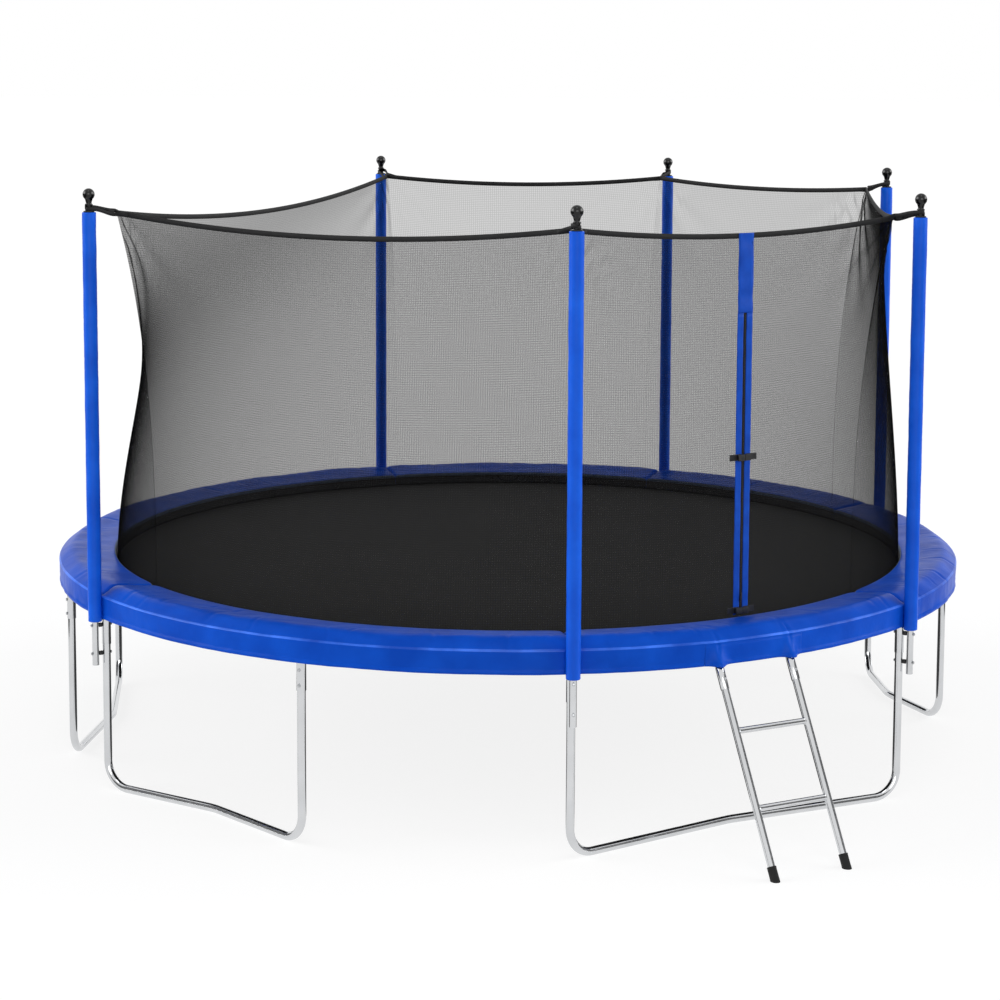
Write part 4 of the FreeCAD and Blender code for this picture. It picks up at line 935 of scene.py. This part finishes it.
bm = bmesh.new()
door_block(bm, DOOR_FACE - 0.0006, 0.0, (ZIP_TOP + TAPE_FOOT) / 2,
           (0.0012, 0.026, ZIP_TOP - TAPE_FOOT + 0.008), 0.0003, 1)
fitted(made_piece("zip_tape", bm, black_webbing), "frame", "black_webbing")
bm = bmesh.new()
for i in range(int((ZIP_TOP - TAPE_FOOT) / TOOTH_PITCH)):
    for side in (-1, 1):
        height = TAPE_FOOT + 0.003 + i * TOOTH_PITCH + side * 0.0015
        place = facing(DOOR_BEARING, DOOR_FACE + 0.001, height) @ Matrix.Translation((0, side * 0.0012, 0))
        bmesh.ops.create_cube(bm, size=1.0, matrix=place @ Matrix.Diagonal((0.0019, 0.0034, 0.0024, 1.0)))
fitted(made_piece("zip_teeth", bm, black_nylon), "frame", "black_matt_plastic", "door_zip")

# Zip slider
# A die-cast body on the teeth with a flat pull that hangs from its bridge.

SLIDER_FACE, SLIDER = 2.0162, 1.042
bm = bmesh.new()
for out, rise, size, edge in ((0.0, 0.0, (0.0042, 0.011, 0.024), 0.0015),
                              (0.0026, 0.002, (0.0028, 0.0035, 0.012), 0.0008),
                              (0.003, 0.013, (0.0014, 0.0076, 0.032), 0.0006)):
    door_block(bm, SLIDER_FACE + out, 0.0, SLIDER + rise, size, edge)
fitted(made_piece("zip_runner", bm, black_nylon), "zip_slider", "black_matt_plastic", "zip_slider")

# Buckles
# Two side-release buckles across the zip, black acetal on black webbing that is sewn to the tapes.
# The left half is the body, the right half the tongue with its two prongs.

BUCKLES = {"upper": 1.69, "lower": 0.992}
BUCKLE_MIDDLE = 2.0305


def webbing_end(bm, side, height):
    door_block(bm, 2.015, side * 0.044, height, (0.003, 0.062, 0.029), 0.0008, 1)
    door_block(bm, 2.02, side * 0.022, height, (0.0105, 0.016, 0.0225), 0.0012, 1)


bm = bmesh.new()
for height in BUCKLES.values():
    webbing_end(bm, -1, height)
    door_block(bm, BUCKLE_MIDDLE, -0.02, height, (0.0096, 0.0356, 0.0296), 0.0025)
fitted(made_piece("buckle_sockets", bm, black_nylon), "frame", "black_matt_plastic", "buckle_bodies")
for name, height in BUCKLES.items():
    bm = bmesh.new()
    webbing_end(bm, 1, height)
    door_block(bm, BUCKLE_MIDDLE, 0.0152, height, (0.0096, 0.033, 0.0296), 0.0025)
    for side in (-1, 1):
        door_block(bm, BUCKLE_MIDDLE, -0.009, height + side * 0.0095, (0.0044, 0.013, 0.005), 0.001)
    prongs = made_piece("buckle_prongs_" + name, bm, black_nylon)
    fitted(prongs, "buckle_tongue_" + name, "black_matt_plastic", "buckle_tongue_" + name)

# Ladder
# Two galvanised side rails with two rungs. The rails stand on rubber feet and end in wider hook tubes
# whose flat hooks hang over the frame.

FOOT_RADIUS_OUT = 2.755
SIDE_RADIUS, RUNG_RADIUS = 0.017, 0.014
RUNGS = (0.275, 0.575)
HOOK_TUBE_FROM, HOOK_TUBE_TO = 0.06, 0.182
slant = math.atan2(FOOT_RADIUS_OUT - HINGE_RADIUS, RING_HEIGHT)
ladder_length = RING_HEIGHT / math.cos(slant)


def on_ladder(side, distance, lift=0.0):
    x = HINGE_RADIUS + distance * math.sin(slant) + lift * math.cos(slant)
    z = RING_HEIGHT - distance * math.cos(slant) + lift * math.sin(slant)
    return facing(LADDER_BEARING) @ Vector((x, side * LADDER_HALF, z))


for side, name in ((-1, "left"), (1, "right")):
    bm = bmesh.new()
    tube(bm, [on_ladder(side, HOOK_TUBE_FROM), on_ladder(side, ladder_length - 0.014)], (), SIDE_RADIUS)
    fitted(made_piece("side_rail_" + name, bm, galvanised_tube), "ladder", "galvanised_steel",
           "ladder_rail_" + name)

inset = (LADDER_HALF - SIDE_RADIUS + 0.001) / LADDER_HALF
ladder_turn = facing(LADDER_BEARING).to_3x3().to_4x4()
bm = bmesh.new()
for height in RUNGS:
    distance = (RING_HEIGHT - height) / math.cos(slant)
    tube(bm, [on_ladder(-inset, distance), on_ladder(inset, distance)], (), RUNG_RADIUS)
    for side in (-1, 1):
        place = Matrix.Translation(on_ladder(side * inset, distance)) @ ladder_turn
        weld = [(RUNG_RADIUS - 0.001, 0.004), (RUNG_RADIUS + 0.0018, 0.002), (RUNG_RADIUS + 0.0022, -0.002),
                (RUNG_RADIUS - 0.001, -0.004)]
        lathe(bm, weld, place @ turned(90 * side, "X"), 20)
fitted(made_piece("rungs", bm, galvanised_tube), "ladder", "galvanised_steel", "ladder_rungs")

# Ladder hooks
# Each side rail's top is pushed into a wider tube and screwed. A flat steel strip, bent over the
# frame rail and welded along the tube, is the hook.

HOOK_INNER, HOOK_OUTER, HOOK_HALF = 0.0199, 0.0256, 0.007
HOOK_TIP = 190.0
along_rail = ladder_turn @ Matrix.Rotation(-slant, 4, "Y")
bm = bmesh.new()
for side in (-1, 1):
    place = Matrix.Translation(on_ladder(side, HOOK_TUBE_TO)) @ along_rail
    outline = [(0.0173, 0.0), (0.019, 0.0), (0.0196, 0.0008), (0.0196, 0.1212), (0.019, 0.122),
               (0.0173, 0.122)]
    lathe(bm, outline, place)
    hook = facing(LADDER_BEARING) @ Matrix.Translation((HINGE_RADIUS, side * LADDER_HALF, RING_HEIGHT))
    tip = math.radians(HOOK_TIP)
    section = [hook @ Vector((radius * math.cos(tip), across, radius * math.sin(tip)))
               for radius, across in ((HOOK_OUTER, -HOOK_HALF), (HOOK_OUTER, HOOK_HALF),
                                      (HOOK_INNER, HOOK_HALF), (HOOK_INNER, -HOOK_HALF))]
    verts = [bm.verts.new(point) for point in section]
    bm.faces.new(verts)
    edges = [bm.edges.get(pair) for pair in zip(verts, verts[1:] + verts[:1])]
    axis = facing(LADDER_BEARING).to_3x3() @ Vector((0.0, 1.0, 0.0))
    edges = swung(bm, edges, hook.translation, axis, HOOK_TIP - math.degrees(slant), 16)
    edges = drawn(bm, edges, Matrix.Translation(on_ladder(side, 0.086) - on_ladder(side, 0.0)))
    bmesh.ops.holes_fill(bm, edges=edges)
fitted(made_piece("hooks", bm, galvanised_tube), "ladder", "galvanised_steel", "ladder_hooks")

bm = bmesh.new()
for side in (-1, 1):
    place = Matrix.Translation(on_ladder(side, 0.1413, 0.0198)) @ along_rail @ outwards
    screwed(bm, place, 0.0074, 0.0012, 0.0042)
fitted(made_piece("hook_screws", bm, zinc_plated), "ladder", "zinc_steel", "ladder_screws")

# Ladder feet
# Moulded rubber boots pushed over the ends of the side rails, cut level with the ground, with a
# thicker rim at the mouth.

# Rubber: matt black, its tone drifting a little from place to place.
black_rubber = two_toned("black_rubber_moulded", ("#070707", "#111111"), (40.0, 4.0),
                         {"Roughness": 0.6, "Specular IOR Level": 0.25},
                         ("TexNoise", {"Scale": 40.0, "Detail": 4.0}, "Fac"), (0.1, 0.0008))

bm = bmesh.new()
for side in (-1, 1):
    place = Matrix.Translation(on_ladder(side, ladder_length - 0.062)) @ along_rail
    outline = [(0.0172, -0.001), (0.0172, 0.0), (0.0185, 0.0008), (0.0207, 0.0004), (0.0209, -0.004),
               (0.0203, -0.0065), (0.0203, -0.05), (0.0209, -0.053), (0.0209, -0.09), (0.0, -0.09)]
    lathe(bm, outline, place)
cut = bmesh.ops.bisect_plane(bm, geom=bm.verts[:] + bm.edges[:] + bm.faces[:], plane_co=(0, 0, 0.0),
                             plane_no=(0, 0, -1), clear_outer=True)
bmesh.ops.holes_fill(bm, edges=[e for e in cut["geom_cut"] if isinstance(e, bmesh.types.BMEdge)])
fitted(made_piece("rubber_feet", bm, black_rubber), "ladder", "black_rubber", "ladder_feet")

# Studio
# A white floor that keeps the trampoline's shadow, a white world behind it, soft lamps, and the
# camera where the photograph was taken from.


def seen_directly(tree):
    # 1 for what the camera sees, also in shiny and through clear parts, and 0 for light on its way
    path = add_node(tree, "LightPath")
    seen = add_node(tree, "Math", {0: path.outputs["Is Camera Ray"], 1: path.outputs["Is Glossy Ray"]},
                    operation="MAXIMUM")
    return add_node(tree, "Math", {0: seen, 1: path.outputs["Is Transmission Ray"]}, operation="MAXIMUM")


# White paper sweep: the camera and shiny parts see it white with a soft shadow, and it lights the
# underside of the trampoline as white paper does.
paper, tree = blank_material("studio_paper")
bounce = add_node(tree, "BsdfDiffuse", {"Color": colour("#D8D8D8")})
shadow = add_node(tree, "BsdfDiffuse", {"Color": colour("#828282")})
glow = add_node(tree, "Emission", {"Color": (1.0, 1.0, 1.0, 1.0), "Strength": 0.82})
white = add_node(tree, "AddShader", {0: shadow, 1: glow})
both = add_node(tree, "MixShader", {0: seen_directly(tree), 1: bounce, 2: white})
add_node(tree, "OutputMaterial", {"Surface": both})

bm = bmesh.new()
bmesh.ops.create_circle(bm, cap_ends=True, segments=64, radius=150.0)
floor = made_piece("floor", bm, paper)

# Dark boards beside and under the set, which only the shiny parts see: they draw the dark streaks in
# the steel.
board_black, tree = blank_material("studio_board")
cloth = add_node(tree, "BsdfDiffuse", {"Color": colour("#767676")})
add_node(tree, "OutputMaterial", {"Surface": cloth})
for name, middle, size in (("board_left", (-4.4, -1.5, 1.6), (0.05, 7.0, 3.1)),
                           ("board_right", (4.4, -1.5, 1.6), (0.05, 7.0, 3.1)),
                           ("board_under", (0.0, 0.0, 0.006), (3.7, 3.7, 0.01))):
    bm = bmesh.new()
    place = Matrix.Translation(AXIS + Vector(middle)) @ Matrix.Diagonal(size).to_4x4()
    if name == "board_under":
        bmesh.ops.create_cone(bm, cap_ends=True, segments=64, radius1=0.5, radius2=0.5, depth=1.0,
                              matrix=place)
    else:
        bmesh.ops.create_cube(bm, size=1.0, matrix=place)
    board = made_piece(name, bm, board_black)
    board.visible_camera = board.visible_diffuse = board.visible_shadow = board.visible_transmission = False

world = bpy.data.worlds.new("studio")
bpy.context.scene.world = world
world.use_nodes = True
tree = world.node_tree
tree.nodes.clear()
room = add_node(tree, "Background", {"Color": (1.0, 1.0, 1.0, 1.0), "Strength": 0.35})
backdrop = add_node(tree, "Background", {"Color": (1.0, 1.0, 1.0, 1.0), "Strength": 1.0})
mixed = add_node(tree, "MixShader", {0: seen_directly(tree), 1: room, 2: backdrop})
add_node(tree, "OutputWorld", {"Surface": mixed})

# Large soft lamps at both sides, in front and overhead: where each shines from, its strength and its
# width in degrees
LAMPS = {"left": ((-1.0, 0.0, 0.25), 2.6, 50.0), "right": ((1.0, 0.08, 0.25), 2.5, 50.0),
         "front": ((0.1, -1.0, 0.17), 1.0, 40.0), "top": ((0.0, -0.3, 1.0), 0.25, 20.0)}
for name, (away, power, width) in LAMPS.items():
    lamp = bpy.data.lights.new(name, "SUN")
    lamp.energy, lamp.angle = power, math.radians(width)
    holder = bpy.data.objects.new(name, lamp)
    holder.rotation_euler = (-Vector(away)).to_track_quat("-Z", "Y").to_euler()
    bpy.context.collection.objects.link(holder)

# Place, turn, lens and shift as fitted to the photograph
lens = bpy.data.cameras.new("photo_camera")
lens.sensor_width = 36.0
lens.lens = 88.789
lens.shift_y = -0.1572
lens.clip_end = 200.0
camera = bpy.data.objects.new("photo_camera", lens)
camera.location = (AXIS.x, AXIS.y - 12.6336, 3.5199)
aim = Matrix.Rotation(math.radians(0.2038), 3, "Z") @ Matrix.Rotation(math.radians(90.0 - 6.8947), 3, "X")
camera.rotation_euler = (aim @ Matrix.Rotation(math.radians(0.2602), 3, "Z")).to_euler()
bpy.context.collection.objects.link(camera)
bpy.context.scene.camera = camera
bpy.context.scene.view_settings.view_transform = "Standard"
